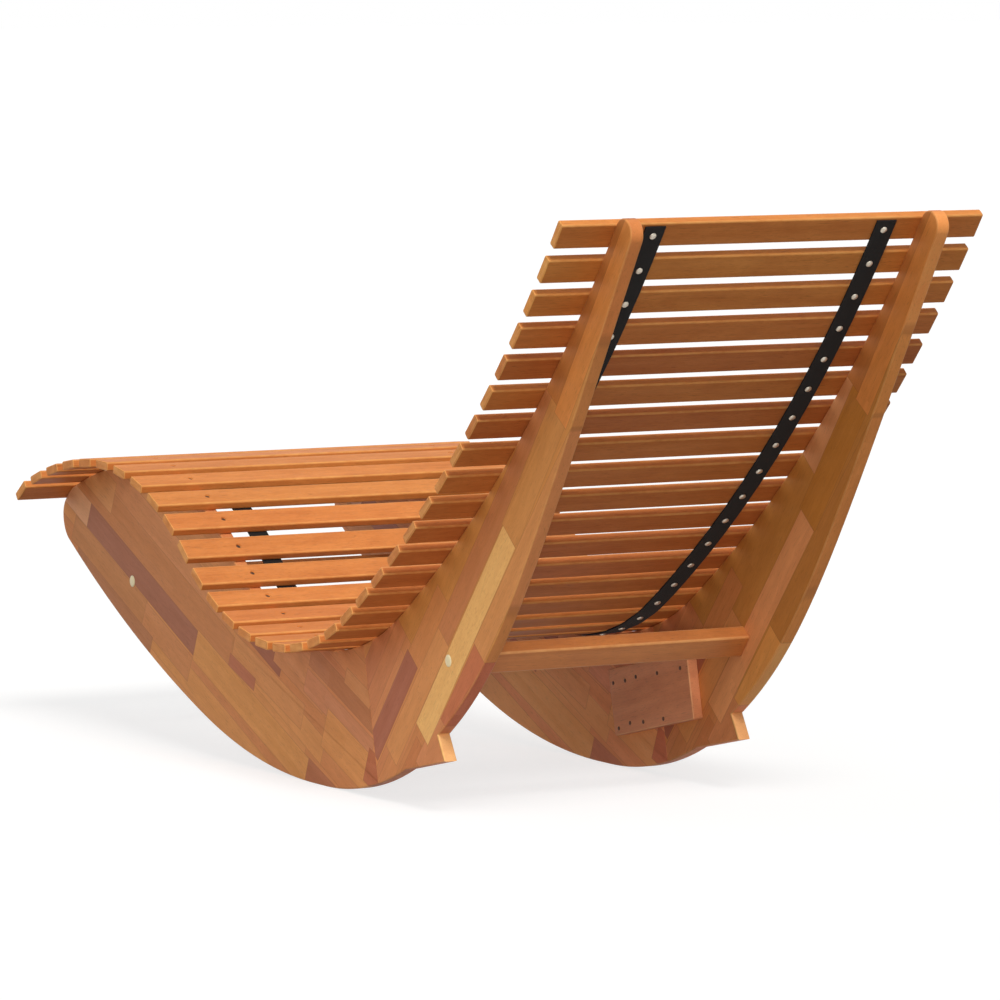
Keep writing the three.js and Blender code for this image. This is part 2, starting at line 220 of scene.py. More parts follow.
def makeWoodGrain():
    look = grainLook
    tree, entry = newGroup("woodGrain", {
        "Along": origin, "Seed": 0.0, "Light": white, "Dark": black, "Pores": 0.5, "Flecks": 0.2})
    shift = times(entry["Seed"], look["seedStep"])
    moved = vectorCalc("ADD", entry["Along"], combine(shift, shift, shift))
    sway = times(minus(noise(moved, **look["slow"]), 0.5), look["sway"])
    bent = vectorCalc("ADD", moved, combine(0.0, sway, sway))
    fibre = noise(bent, **look["fibre"])
    streak = plus(times(noise(bent, **look["broad"]), look["broadShare"]),
                  times(remap(fibre, *look["fibreLevels"]), look["fibreShare"]))
    patches = noise(moved, **look["patches"])
    clouded = plus(times(streak, look["streakShare"]),
                   times(remap(patches, *look["cloudLevels"]), look["cloudShare"]))
    flecks = times(noise(moved, **look["flecks"]), remap(patches, *look["fleckPatches"]))
    lit = minus(clouded, times(flecks, entry["Flecks"]), clamp=True)
    grained = mixColour(lit, entry["Dark"], entry["Light"])
    poreShare = times(noise(bent, **look["pores"]), entry["Pores"])
    poreColour = mixColour(0.5, entry["Dark"], opaque(look["poreDepths"]))
    return endGroup(tree, {
        "Color": mixColour(poreShare, grained, poreColour),
        "Height": minus(times(fibre, look["fibreHeight"]), poreShare),
        "Streak": streak})


# Distances along and across a direction in the side plane:
# along = y cos a + z sin a, across = z cos a - y sin a
def alongAndAcross(y, z, angle):
    cosine, sine = calc("COSINE", angle), calc("SINE", angle)
    along = plus(times(y, cosine), times(z, sine))
    across = minus(times(z, cosine), times(y, sine))
    return along, across


# Boards glued up from strips: which strip and piece a point is in, and the glue lines between them
stripLook = {"offset": 0.4, "startSpread": 9.0, "seam": (0.0002, 0.0007)}


def makeLaminatedStrips():
    tree, entry = newGroup("laminatedStrips", {
        "Place": origin, "Angle": 0.0, "Strip Width": 0.037, "Piece Length": 0.42, "Seed": 0.0})
    x, y, z = separate(entry["Place"])
    along, across = alongAndAcross(y, z, entry["Angle"])
    strips = plus(calc("DIVIDE", across, entry["Strip Width"]), stripLook["offset"])
    strip = plus(calc("FLOOR", strips), entry["Seed"])
    start = joinNode("ShaderNodeTexWhiteNoise", {"W": strip}, noise_dimensions="1D").outputs[0]
    pieces = plus(calc("DIVIDE", along, entry["Piece Length"]),
                  times(start, stripLook["startSpread"]))
    pair = combine(strip, calc("FLOOR", pieces), 0.0)
    pick = joinNode("ShaderNodeTexWhiteNoise", {"Vector": pair}, noise_dimensions="2D")
    # distances to the glue lines beside and ahead, in metres
    beside = times(calc("PINGPONG", strips, 0.5), entry["Strip Width"])
    ahead = times(calc("PINGPONG", pieces, 0.5), entry["Piece Length"])
    nearest = calc("MINIMUM", beside, ahead)
    return endGroup(tree, {
        "Along": combine(along, across, x),
        "Piece": pick.outputs[0],
        "Seam": remap(nearest, *stripLook["seam"], 1.0, 0.0)})


# One glued piece of a board: a rectangle in the side plane about a centre, at its own angle.
# A point lies outside it by max(|along| - half long, |across| - half wide).
patchLook = {"soften": 0.0004, "line": (0.0003, 0.0008), "sideSlack": 0.001}


def makeStripPatch():
    tree, entry = newGroup("stripPatch", {
        "Place": origin, "Centre Y": 0.0, "Centre Z": 0.0, "Angle": 0.0, "Half Long": 0.1,
        "Half Wide": 0.02, "Side": 1.0})
    x, y, z = separate(entry["Place"])
    y, z = minus(y, entry["Centre Y"]), minus(z, entry["Centre Z"])
    along, across = alongAndAcross(y, z, entry["Angle"])
    past = minus(calc("ABSOLUTE", along), entry["Half Long"])
    beside = minus(calc("ABSOLUTE", across), entry["Half Wide"])
    outside = calc("MAXIMUM", past, beside)
    sameSide = calc("GREATER_THAN", times(x, entry["Side"]), -patchLook["sideSlack"])
    inside = remap(outside, -patchLook["soften"], patchLook["soften"], 1.0, 0.0)
    line = remap(calc("ABSOLUTE", outside), *patchLook["line"], 1.0, 0.0)
    return endGroup(tree, {
        "Mask": times(inside, sameSide), "Line": times(line, sameSide)})


# Eased edges lighter and a little uneven: partly wearing from being handled for a while, partly a
# painted highlight along the rounded edges
wearAndHighlightPatches = {"scale": 55.0, "detail": 3.0, "levels": (0.3, 0.7, 0.35, 1.0)}


def makeEdgeWearAndHighlight():
    tree, entry = newGroup("edgeWearAndHighlight", {
        "Color": white, "Worn And Lit": white, "Place": origin, "Amount": 0.5})
    rubbedAndLit = times(readAttribute(tree, "edge"), noise(entry["Place"], **wearAndHighlightPatches))
    # lighter along the eased edges: wearing and a painted highlight together
    wearAndHighlight = times(rubbedAndLit, entry["Amount"], clamp=True)
    return endGroup(tree, {"Color": mixColour(wearAndHighlight, entry["Color"], entry["Worn And Lit"])})


# A little pale dust that settles on faces that look upwards
dustLook = {
    "facing": (0.3, 1.0),
    "specks": {"scale": 240.0, "detail": 4.0, "roughness": 0.7, "levels": (0.45, 0.75)},
    "colour": (0.62, 0.53, 0.42),
}


def makeDust():
    tree, entry = newGroup("dust", {"Color": white, "Place": origin, "Amount": 0.1})
    normal = addNode(tree, "ShaderNodeNewGeometry").outputs["Normal"]
    upward = remap(separate(normal)[2], *dustLook["facing"])
    specks = noise(entry["Place"], **dustLook["specks"])
    share = times(times(upward, specks), entry["Amount"], clamp=True)
    return endGroup(tree, {"Color": mixColour(share, entry["Color"], opaque(dustLook["colour"]))})


# Webbing: bundles of yarn along the strap, crossed by a tighter weft. UV is in metres.
weaveLook = {
    "rowLength": 1.6,
    "fuzz": {"scale": 2600.0, "detail": 3.0, "levels": (0.3, 0.7, 0.5, 1.0)},
}


def makeWeave():
    tree, entry = newGroup("weave", {"UV": origin, "Yarn": 0.0014, "Light": white, "Dark": black})

    # rounded from 0 at each end of a cell to 1 in its middle
    def arched(cells):
        return calc("POWER", times(calc("PINGPONG", cells, 0.5), 2.0), 0.5)

    across, along, _ = separate(entry["UV"])
    columns = calc("DIVIDE", across, entry["Yarn"])
    rows = calc("DIVIDE", along, times(entry["Yarn"], weaveLook["rowLength"]))
    shifted = plus(rows, times(calc("FLOOR", columns), 0.5))
    height = times(arched(shifted), arched(columns))
    lit = times(height, noise(entry["UV"], **weaveLook["fuzz"]))
    # The yarns' colour follows their height, darker in the dips between them: painted shade, with the
    # fuzz as their own unevenness
    woven = mixColour(lit, entry["Dark"], entry["Light"])
    return endGroup(tree, {"Color": woven, "Height": height})


woodGrain = makeWoodGrain()
laminatedStrips = makeLaminatedStrips()
stripPatch = makeStripPatch()
edgeWearAndHighlight = makeEdgeWearAndHighlight()
dust = makeDust()
weave = makeWeave()
print("shader groups built")


def newMaterial(name):
    material = bpy.data.materials.new(name)
    material.use_nodes = True
    tree = material.node_tree
    return material, tree, tree.nodes["Principled BSDF"].inputs


def objectPlace(tree):
    return addNode(tree, "ShaderNodeTexCoord").outputs["Object"]


def bump(height, strength, distance):
    inputs = {"Height": height, "Strength": strength, "Distance": distance}
    return joinNode("ShaderNodeBump", inputs).outputs[0]


# Grain along the first axis of a piece's own coordinates, which differs with the piece's tone
def ownGrain(tree, look):
    local, tone = readAttribute(tree, "local", "Vector"), readAttribute(tree, "tone")
    grain = useGroup(woodGrain, {
        "Along": local, "Seed": times(tone, look["grainStep"]), "Light": colour(look["light"]),
        "Dark": colour(look["dark"]), "Pores": look["pores"]})
    return local, tone, grain


# What every oiled wood here ends with: lighter edges from handling and a painted highlight, dust, and
# its grain's roughness and relief
def finishWood(shader, look, base, grain, height, place):
    wornAndLit = useGroup(edgeWearAndHighlight, {
        "Color": base, "Worn And Lit": colour(look["wornAndLit"]), "Place": place, "Amount": look["wearAndHighlight"]})
    dusty = useGroup(dust, {"Color": wornAndLit["Color"], "Place": place, "Amount": look["dust"]})
    low, high = look["roughness"]
    feed(shader, {
        "Base Color": dusty["Color"],
        "Roughness": remap(grain["Streak"], 0.0, 1.0, high, low),
        "Normal": bump(height, *look["relief"]),
        "Specular IOR Level": look["specular"],
        "Coat Weight": look["coat"],
        "Coat Roughness": look["coatRoughness"]})


# Oiled slat wood. Each slat's tone, from 0 to 1, sets how light and how golden it is.
slatLook = {
    "light": "#EB964D",
    "dark": "#C77033",
    "pores": 0.5,
    "grainStep": 40.0,
    "levels": (0.82, 1.14),
    "greens": (0.87, 1.1),
    "blues": (0.92, 1.02),
    "goldenTone": 0.7,
    "goldenSpread": 0.3,
    "spreadStep": 7.3,
    # the slats' undersides are painted a little darker: painted shade
    "under": "#F8F5F1",
    "underShadeHeights": (-0.0045, -0.0058),
    "endGrain": (1.07, 1.18, 1.12),
    "endReach": (0.2988, 0.2996),
    # lighter eased edges: partly wearing, partly a painted highlight
    "wornAndLit": "#FFC474",
    "wearAndHighlight": 0.45,
    "dust": 0.06,
    "roughness": (0.5, 0.66),
    "relief": (0.35, 0.0002),
    "specular": 0.22,
    "coat": 0.03,
    "coatRoughness": 0.3,
}


def makeSlatWood():
    look = slatLook
    material, tree, shader = newMaterial("slatWood")
    local, tone, grain = ownGrain(tree, look)
    level = remap(tone, 0.0, 1.0, *look["levels"])
    spread = calc("FRACT", times(tone, look["spreadStep"]))
    golden = plus(times(tone, look["goldenTone"]), times(spread, look["goldenSpread"]))
    green = times(level, remap(golden, 0.0, 1.0, *look["greens"]))
    blue = times(level, remap(golden, 0.0, 1.0, *look["blues"]))
    toned = tinted(grain["Color"], combine(level, green, blue))
    x, _, z = separate(local)
    # painted shade: the underside of each slat a little darker
    under = remap(z, *look["underShadeHeights"])
    toned = mixColour(under, toned, tinted(toned, colour(look["under"])))
    onEnd = remap(calc("ABSOLUTE", x), *look["endReach"])
    toned = mixColour(onEnd, toned, tinted(toned, opaque(look["endGrain"])))
    finishWood(shader, look, toned, grain, grain["Height"], local)
    return material


slatWood = makeSlatWood()

# Boards of the side frames, glued up from strips. Each named piece is
# (centre y, centre z, degrees, long, wide, side, colour); side is 1 left, -1 right, 0 both.
frameLook = {
    "tones": ["#CE7E4C", "#DE9056", "#D6894E", "#E39A56"],
    "pieceLength": 0.43,
    "pieceStep": 1.7,
    "grainStep": 9.0,
    "lightGrain": (1.1, 1.09, 1.08),
    "darkGrain": (0.84, 0.78, 0.72),
    "pores": 0.45,
    "flecks": 0.25,
    "richFlecks": 0.9,
    "richPieces": ("paleLong",),
    "seam": "#8A4E2A",
    "seamShare": 0.3,
    "edgeFacing": 0.5,
    "wornAndLit": "#FFC684",
    "wearAndHighlight": 0.22,
    "dust": 0.05,
    "roughness": (0.5, 0.66),
    "relief": (0.3, 0.0002),
    "specular": 0.25,
    "coat": 0.03,
    "coatRoughness": 0.35,
}
frontLook = {
    "angle": -24.0,
    "stripWidth": 0.037,
    "seed": 3.0,
    # leftEdge, rightFace and rightEdge multiply the board colour: painted light on the right board
    # and on edges
    "leftEdge": (1.0, 0.95, 1.05),
    "rightFace": (1.3, 1.34, 1.75),
    "rightEdge": (1.3, 1.25, 1.35),
}
rearLook = {
    "angle": 51.4,
    "stripWidth": 0.0305,
    "seed": 8.0,
    # leftEdge, rightFace and rightEdge multiply the board colour: painted light on the right board
    # and on edges
    "leftEdge": (1.0, 0.92, 1.12),
    "rightFace": (1.0, 1.0, 1.0),
    "rightEdge": (1.4, 1.3, 1.6),
}
frontPieces = {
    "upper": (-0.5200, 0.3200, -24.0, 0.600, 0.1500, 0, "#DB9254"),
    "topPink": (-0.4823, 0.2935, -24.0, 0.460, 0.0400, 0, "#DC925A"),
    "middle": (-0.5002, 0.2533, -24.0, 0.520, 0.0480, 0, "#D0864C"),
    "darkLong": (-0.5400, 0.2245, -23.9, 0.366, 0.0380, 0, "#B06E4E"),
    "noseLight": (-0.7460, 0.3157, -24.0, 0.085, 0.0380, 0, "#E8A876"),
    "noseTop": (-0.7000, 0.3600, -24.0, 0.160, 0.0480, 0, "#E09A5C"),
    "goldUnder": (-0.6431, 0.2272, -24.0, 0.250, 0.0380, 0, "#D08A50"),
    "orangeUnder": (-0.4613, 0.1440, -24.0, 0.155, 0.0380, 0, "#D88E54"),
    "lowerRed": (-0.6296, 0.1840, -24.0, 0.260, 0.0300, 0, "#BE7A4A"),
    "valleyGold": (-0.1570, 0.1215, -20.5, 0.215, 0.0360, 0, "#DE9556"),
    "redNarrow": (-0.2330, 0.1259, -20.0, 0.080, 0.0180, 0, "#C0714A"),
    "goldLong": (-0.2102, 0.0790, -23.1, 0.354, 0.0460, 0, "#E49C55"),
    "valleyRed": (-0.1717, 0.1749, -24.0, 0.125, 0.0420, 0, "#A7603D"),
    "valleyPink": (-0.0600, 0.1500, -22.0, 0.150, 0.0600, 0, "#D68C54"),
    "brownStrip": (0.0600, 0.1320, -22.0, 0.200, 0.0300, 0, "#C27A49"),
    "pinkStrip": (0.0450, 0.0980, -22.0, 0.200, 0.0340, 0, "#D58A5A"),
    "goldCorner": (0.1000, 0.1390, -22.0, 0.075, 0.0220, 0, "#D99055"),
    "goldLow": (0.0750, 0.0500, -22.0, 0.150, 0.0560, 0, "#E39854"),
    "brownLow": (-0.0080, 0.0010, -21.0, 0.080, 0.0360, 0, "#BC7248"),
    "redCorner": (0.1450, 0.0340, -22.0, 0.050, 0.0480, 0, "#C06C40"),
}
rearPieces = {
    "leftUpper": (0.6000, 0.5000, 50.0, 0.9000, 0.3000, 1, "#DA9249"),
    "rightUpper": (0.6000, 0.5000, 50.0, 0.9000, 0.3000, -1, "#CE8A40"),
    "pinkLeft": (0.4660, 0.3933, 49.9, 0.4265, 0.0360, 1, "#D0844E"),
    "paleRight": (0.5518, 0.4983, 48.5, 0.1500, 0.0380, -1, "#E6A068"),
    "goldAbove": (0.5624, 0.4566, 53.0, 0.2130, 0.0460, 1, "#DC9650"),
    "brownAbove": (0.5624, 0.4566, 53.0, 0.2130, 0.0460, -1, "#CC8638"),
    "redStreak": (0.5750, 0.4195, 49.8, 0.1600, 0.0090, -1, "#B06E4C"),
    "crownSeat": (0.7100, 0.6963, 54.0, 0.3600, 0.0340, 0, "#CB7F3F"),
    "crownRear": (0.7310, 0.6750, 55.0, 0.3700, 0.0340, 0, "#E9964B"),
    "goldRight": (0.3675, 0.1515, 49.8, 0.1730, 0.0340, -1, "#EAA254"),
    "redLeft": (0.3675, 0.1515, 49.8, 0.1730, 0.0340, 1, "#CC7548"),
    "edgeLeft": (0.5510, 0.3720, 49.8, 0.4000, 0.0340, 1, "#DC9452"),
    "edgeRight": (0.5510, 0.3720, 49.8, 0.4000, 0.0340, -1, "#C8843E"),
    "besidePale": (0.2600, 0.1455, 50.0, 0.2180, 0.0360, 0, "#E09655"),
    "besideDark": (0.2324, 0.1686, 50.0, 0.3000, 0.0360, 0, "#DC8F50"),
    "dark": (0.1942, 0.1277, 50.6, 0.1700, 0.0345, 0, "#B46A4A"),
    "heelStrip": (0.2520, 0.0520, 50.0, 0.0750, 0.0450, 0, "#D08048"),
    "heelBlock": (0.3080, 0.0780, 50.0, 0.0900, 0.0600, 0, "#DC8E58"),
    "paleLong": (0.3858, 0.2352, 50.2, 0.3535, 0.0400, 1, "#FFC072"),
    "pinkLong": (0.3858, 0.2352, 50.2, 0.3535, 0.0400, -1, "#EFA468"),
    "heelLeft": (0.3250, 0.0870, 120.5, 0.0400, 0.0060, 1, "#FFC274"),
    "heelRight": (0.3250, 0.0870, 120.5, 0.0400, 0.0060, -1, "#D59E5C"),
}


# Painted light: the right boards, in shade under the seat, are lightened on their edges and, on the
# front board, also on the face; the left boards' edges get a slight tint
def paintedLightTint(tree, look, place):
    facing = addNode(tree, "ShaderNodeNewGeometry").outputs["True Normal"]
    flatness = calc("ABSOLUTE", separate(facing)[0])
    onEdge = calc("LESS_THAN", flatness, frameLook["edgeFacing"])
    onRight = calc("LESS_THAN", separate(place)[0], 0.0)
    left = mixColour(onEdge, white, opaque(look["leftEdge"]))
    right = mixColour(onEdge, opaque(look["rightFace"]), opaque(look["rightEdge"]))
    return mixColour(onRight, left, right)


def makeFrameWood(title, look, pieces):
    shared = frameLook
    material, tree, shader = newMaterial(title)
    place = objectPlace(tree)
    strips = useGroup(laminatedStrips, {
        "Place": place, "Angle": math.radians(look["angle"]), "Strip Width": look["stripWidth"],
        "Piece Length": shared["pieceLength"], "Seed": look["seed"]})
    ramp = joinNode("ShaderNodeValToRGB", {"Fac": strips["Piece"]})
    elements = ramp.color_ramp.elements
    while len(elements) < len(shared["tones"]):
        elements.new(1.0)
    for index, (element, tone) in enumerate(zip(elements, shared["tones"])):
        element.position = index / (len(elements) - 1)
        element.color = colour(tone)
    base, lines, pick, flecks = ramp.outputs[0], strips["Seam"], strips["Piece"], shared["flecks"]
    for number, (name, values) in enumerate(pieces.items()):
        y, z, turn, long, wide, side, code = values
        patch = useGroup(stripPatch, {
            "Place": place, "Centre Y": y, "Centre Z": z, "Angle": math.radians(turn),
            "Half Long": long / 2, "Half Wide": wide / 2, "Side": float(side)})
        mask = patch["Mask"]
        base = mixColour(mask, base, colour(code))
        if name in shared["richPieces"]:
            flecks = remap(mask, 0.0, 1.0, shared["flecks"], shared["richFlecks"])
        uncovered = times(lines, minus(1.0, mask))
        lines = calc("MAXIMUM", uncovered, patch["Line"])
        pick = plus(pick, times(mask, shared["pieceStep"] + number))
    # painted light: the right boards and the edges lightened
    base = tinted(base, paintedLightTint(tree, look, place))
    grain = useGroup(woodGrain, {
        "Along": strips["Along"], "Seed": times(pick, shared["grainStep"]),
        "Light": tinted(base, opaque(shared["lightGrain"]), clamp=True),
        "Dark": tinted(base, opaque(shared["darkGrain"])),
        "Pores": shared["pores"], "Flecks": flecks})
    seams = times(lines, shared["seamShare"])
    seamed = mixColour(seams, grain["Color"], colour(shared["seam"]))
    finishWood(shader, shared, seamed, grain, minus(grain["Height"], lines), place)
    return material


frontWood = makeFrameWood("frontBoardWood", frontLook, frontPieces)
rearWood = makeFrameWood("rearBoardWood", rearLook, rearPieces)

# Plain solid wood
solidLook = {
    "pores": 0.5,
    "grainStep": 31.0,
    "dust": 0.05,
    "relief": (0.3, 0.0002),
    "specular": 0.5,
    "coat": 0.08,
    "coatRoughness": 0.35,
}
# Gusset wood: a pale wood, set paler still to stand in for light under the seat, partly painted light
gussetLook = {"light": "#F2A26E", "dark": "#CC7F54", "wornAndLit": "#FFCC88", "wearAndHighlight": 0.5,
              "roughness": (0.5, 0.66)}
stretcherLook = {"light": "#D98840", "dark": "#B46630", "wornAndLit": "#FFC27A", "wearAndHighlight": 0.45,
                 "roughness": (0.5, 0.64)}
capLook = {"light": "#FFF4CE", "dark": "#F0D8A0", "wornAndLit": "#FFF8DC", "wearAndHighlight": 0.3,
           "roughness": (0.5, 0.62)}


def makeSolidWood(name, ownLook):
    look = {**solidLook, **ownLook}
    material, tree, shader = newMaterial(name)
    local, _, grain = ownGrain(tree, look)
    finishWood(shader, look, grain["Color"], grain, grain["Height"], local)
    return material


gussetWood = makeSolidWood("gussetWood", gussetLook)
stretcherWood = makeSolidWood("stretcherWood", stretcherLook)
capWood = makeSolidWood("capWood", capLook)

webbingLook = {
    "yarn": 0.0014,
    "light": "#24201D",
    "dark": "#0D0B0A",
    "roughness": (0.95, 0.7),
    "relief": (0.6, 0.0004),
    "sheen": 0.05,
    "specular": 0.25,
}


def makeWebbing():
    look = webbingLook
    material, tree, shader = newMaterial("webbing")
    uv = addNode(tree, "ShaderNodeUVMap", uv_map="strapUV").outputs[0]
    woven = useGroup(weave, {
        "UV": uv, "Yarn": look["yarn"], "Light": colour(look["light"]), "Dark": colour(look["dark"])})
    feed(shader, {
        "Base Color": woven["Color"],
        "Roughness": remap(woven["Height"], 0.0, 1.0, *look["roughness"]),
        "Normal": bump(woven["Height"], *look["relief"]),
        "Sheen Weight": look["sheen"],
        "Specular IOR Level": look["specular"]})
    return material


webbing = makeWebbing()

# Metal, brushed or tumbled: faint scuffs and broader stains, half and half
metalLook = {
    "scuffs": {"scale": 900.0, "detail": 4.0, "roughness": 0.65},
    "stains": {"scale": 130.0, "detail": 2.0},
    "brightLevels": (0.35, 0.65),
    "scuffLevels": (0.3, 0.7),
    "relief": (0.15, 0.0001),
}
rivetLook = {"bright": "#F4ECDC", "dull": "#CBBEA8", "roughness": (0.22, 0.4), "metallic": 0.45}
screwLook = {"bright": "#6A452A", "dull": "#3A2414", "roughness": (0.45, 0.65), "metallic": 0.35}
boltLook = {"bright": "#B4B2AC", "dull": "#7E7B76", "roughness": (0.25, 0.4), "metallic": 1.0}


def makeMetal(name, look):
    material, tree, shader = newMaterial(name)
    place = objectPlace(tree)
    scuffs = noise(place, **metalLook["scuffs"])
    stains = noise(place, **metalLook["stains"])
    share = remap(plus(times(scuffs, 0.5), times(stains, 0.5)), *metalLook["brightLevels"])
    feed(shader, {
        "Base Color": mixColour(share, colour(look["dull"]), colour(look["bright"])),
        "Roughness": remap(scuffs, *metalLook["scuffLevels"], *look["roughness"]),
        "Normal": bump(scuffs, *metalLook["relief"]),
        "Metallic": look["metallic"]})
    return material


rivetMetal = makeMetal("rivetMetal", rivetLook)
screwMetal = makeMetal("screwMetal", screwLook)
boltMetal = makeMetal("boltMetal", boltLook)
print("materials built")

# Outline of a side frame, from the same sizes as the solids
frameSizes = {
    "valleyHeight": 0.1807,
    "valleyRadius": 0.393,
    "loinTurn": 33.0,
    "backRadius": 2.020,
    "backTurn": 21.58,
    "thighTurn": 41.5,
    "kneeRadius": 0.404,
    "kneeTurn": 44.6,
    "calfRadius": 0.651,
    "calfTurn": 18.3,
    "shoulderRadius": 0.085,
    "shoulderTurn": 27.0,
    "crownRadius": 0.0194,
    "noseDrop": 0.055,
    "noseBack": 0.011,
    "noseHandle": 0.37,
    "lowPointAhead": 0.011,
    "contactFlat": 0.024,
    "rockerRadius": 0.984,
    "rockerFrontTurn": 19.2,
    "rockerRearTurn": 0.8,
    "tailRadius": 0.530,
    "tailTurn": 23.8,
    "heelLong": 0.1097,
    "heelSlope": 12.0,
    "heelFaceTall": 0.0374,
    "heelFaceLean": 30.5,
    "rearTopSlope": 58.4,
    "rearHeelSlope": 33.9,
    "rearTopHandle": 0.575,
    "rearHeelHandle": 0.243,
    "outerFace": 0.2265,
    "thick": 0.018,
    "ease": 0.002,
    "mitreBehindValley": 0.118,
    "mitreLean": 12.6,
    "mitreGap": 0.0003,
    "mitreEase": 0.0003,
    "centring": -0.0014003,
}
curveSteps = {"arc": 0.006, "crown": 0.003, "nose": 18, "rearEdge": 110}


# Geometry helpers. Side-plane points are rows of (y, z). A direction is (cos a, sin a).
def unit(angle):
    return np.stack([np.cos(angle), np.sin(angle)], axis=-1)


# Point i of n on an arc that leaves start at a heading:
# centre + radius * unit(heading - side + turn * i / n), where side is a quarter turn to the centre
def arcPoints(start, heading, radius, turn, step=curveSteps["arc"]):
    side = math.copysign(math.pi / 2, turn)
    centre = start + radius * unit(heading + side)
    count = max(3, round(radius * abs(turn) / step))
    angles = heading - side + turn * np.arange(1, count + 1) / count
    return centre + radius * unit(angles)


# Chain of arcs, each tangent to the one before: a heading grows by the turn of each arc
def makeRun(start, heading, arcs):
    points = [start[None]]
    for radius, turn in arcs:
        points.append(arcPoints(points[-1][-1], heading, radius, turn))
        heading += turn
    return np.vstack(points), heading


# The one arc that leaves a run tangentially and ends at target: it turns by twice the angle
# from the heading to the chord, with radius = chord / (2 sin of that angle)
def arcTo(end, heading, target):
    chord = target - end
    half = math.atan2(chord[1], chord[0]) - heading
    swing = math.atan2(math.sin(half), math.cos(half))
    radius = float(np.linalg.norm(chord)) / (2 * math.sin(abs(swing)))
    return makeRun(end, heading, [(radius, 2 * swing)])


# Cubic curve with known end headings: (1-t)^3 a + 3(1-t)^2 t b + 3(1-t) t^2 c + t^3 d
def blendPoints(start, startHeading, startShare, end, endHeading, endShare, steps):
    chord = float(np.linalg.norm(end - start))
    a, d = start, end
    b = start + startShare * chord * unit(startHeading)
    c = end - endShare * chord * unit(endHeading)
    t = np.linspace(0, 1, steps + 1)[:, None]
    left = 1 - t
    return left ** 3 * a + 3 * left ** 2 * t * b + 3 * left * t ** 2 * c + t ** 3 * d


def rad(name):
    return math.radians(frameSizes[name])


# The runs of the outline: seat edge up and down from the valley, rocker to front and rear of its
# low point, and the nose, heel, rear edge and crown that join them
def frameRuns():
    s = frameSizes
    valley = np.array([0.0, s["valleyHeight"]])
    loin, back, thigh = rad("loinTurn"), rad("backTurn"), rad("thighTurn")
    up, upHeading = makeRun(valley, 0.0, [(s["valleyRadius"], loin), (s["backRadius"], back)])
    seat, heading = makeRun(valley, math.pi, [
        (s["valleyRadius"], -thigh), (s["kneeRadius"], rad("kneeTurn")),
        (s["calfRadius"], rad("calfTurn")), (s["shoulderRadius"], rad("shoulderTurn"))])
    low = np.array([-s["lowPointAhead"], 0.0])
    flat = np.array([s["contactFlat"] / 2, 0.0])
    front, frontHeading = makeRun(low - flat, math.pi, [(s["rockerRadius"], -rad("rockerFrontTurn"))])
    rear, _ = makeRun(low + flat, 0.0, [
        (s["rockerRadius"], rad("rockerRearTurn")), (s["tailRadius"], rad("tailTurn"))])
    noseBottom = seat[-1] + np.array([s["noseBack"], -s["noseDrop"]])
    under, underHeading = arcTo(front[-1], frontHeading, noseBottom)
    nose = blendPoints(seat[-1], heading, s["noseHandle"], noseBottom, underHeading + math.pi,
                       s["noseHandle"], curveSteps["nose"])
    heelCorner = rear[-1] + s["heelLong"] * unit(rad("heelSlope"))
    heelTop = heelCorner + s["heelFaceTall"] * unit(math.pi / 2 + rad("heelFaceLean"))
    crownCentre = up[-1] + s["crownRadius"] * unit(upHeading - math.pi / 2)
    crownRear = crownCentre + s["crownRadius"] * unit(rad("rearTopSlope") - math.pi / 2)
    rearEdge = blendPoints(heelTop, rad("rearHeelSlope"), s["rearHeelHandle"], crownRear,
                           rad("rearTopSlope"), s["rearTopHandle"], curveSteps["rearEdge"])
    crown = arcPoints(crownRear, rad("rearTopSlope"), s["crownRadius"],
                      upHeading + math.pi - rad("rearTopSlope"), curveSteps["crown"])
    return {"up": up, "seat": seat, "nose": nose, "under": under, "front": front, "rear": rear,
            "heelCorner": heelCorner, "rearEdge": rearEdge, "crown": crown}


# Distance from the start at each point: the sum of the steps before it
def lengthsAlong(points):
    return np.concatenate([[0], np.cumsum(np.linalg.norm(np.diff(points, axis=0), axis=1))])


# The place at a distance along a line of points, between the two points nearest to it
def walk(points, distance):
    lengths = lengthsAlong(points)
    return np.array([np.interp(distance, lengths, points[:, axis]) for axis in (0, 1)])


runs = frameRuns()
centring = np.array([frameSizes["centring"], 0.0])
wholeOutline = centring + np.vstack([
    runs["rear"], runs["heelCorner"][None], runs["rearEdge"], runs["crown"][:-1],
    runs["up"][::-1], runs["seat"][1:], runs["nose"][1:-1], runs["under"][::-1][:-1],
    runs["front"][::-1]])

# Mitre: leaves the seat edge behind the valley and runs down to the rocker
mitreTop = centring + walk(runs["up"], frameSizes["mitreBehindValley"])
mitreAside = unit(rad("mitreLean"))


# Part of a closed outline on one side of the mitre, kept half a gap from it. past is how far a
# point lies inside; an edge from past p to past q crosses the line at p / (p - q) of its length.
def cutOutline(points, side, gap):
    past = side * ((points - mitreTop) @ mitreAside) - gap
    after, pastAfter = np.roll(points, -1, axis=0), np.roll(past, -1)
    share = past / np.where(past == pastAfter, 1, past - pastAfter)
    crossing = points + share[:, None] * (after - points)
    crosses = (past > 0) != (pastAfter > 0)
    both = np.stack([points, crossing], axis=1).reshape(-1, 2)
    kept = np.stack([past > 0, crosses], axis=1).reshape(-1)
    marks = np.stack([np.zeros(len(points), bool), crosses], axis=1).reshape(-1)
    return both[kept], marks[kept]


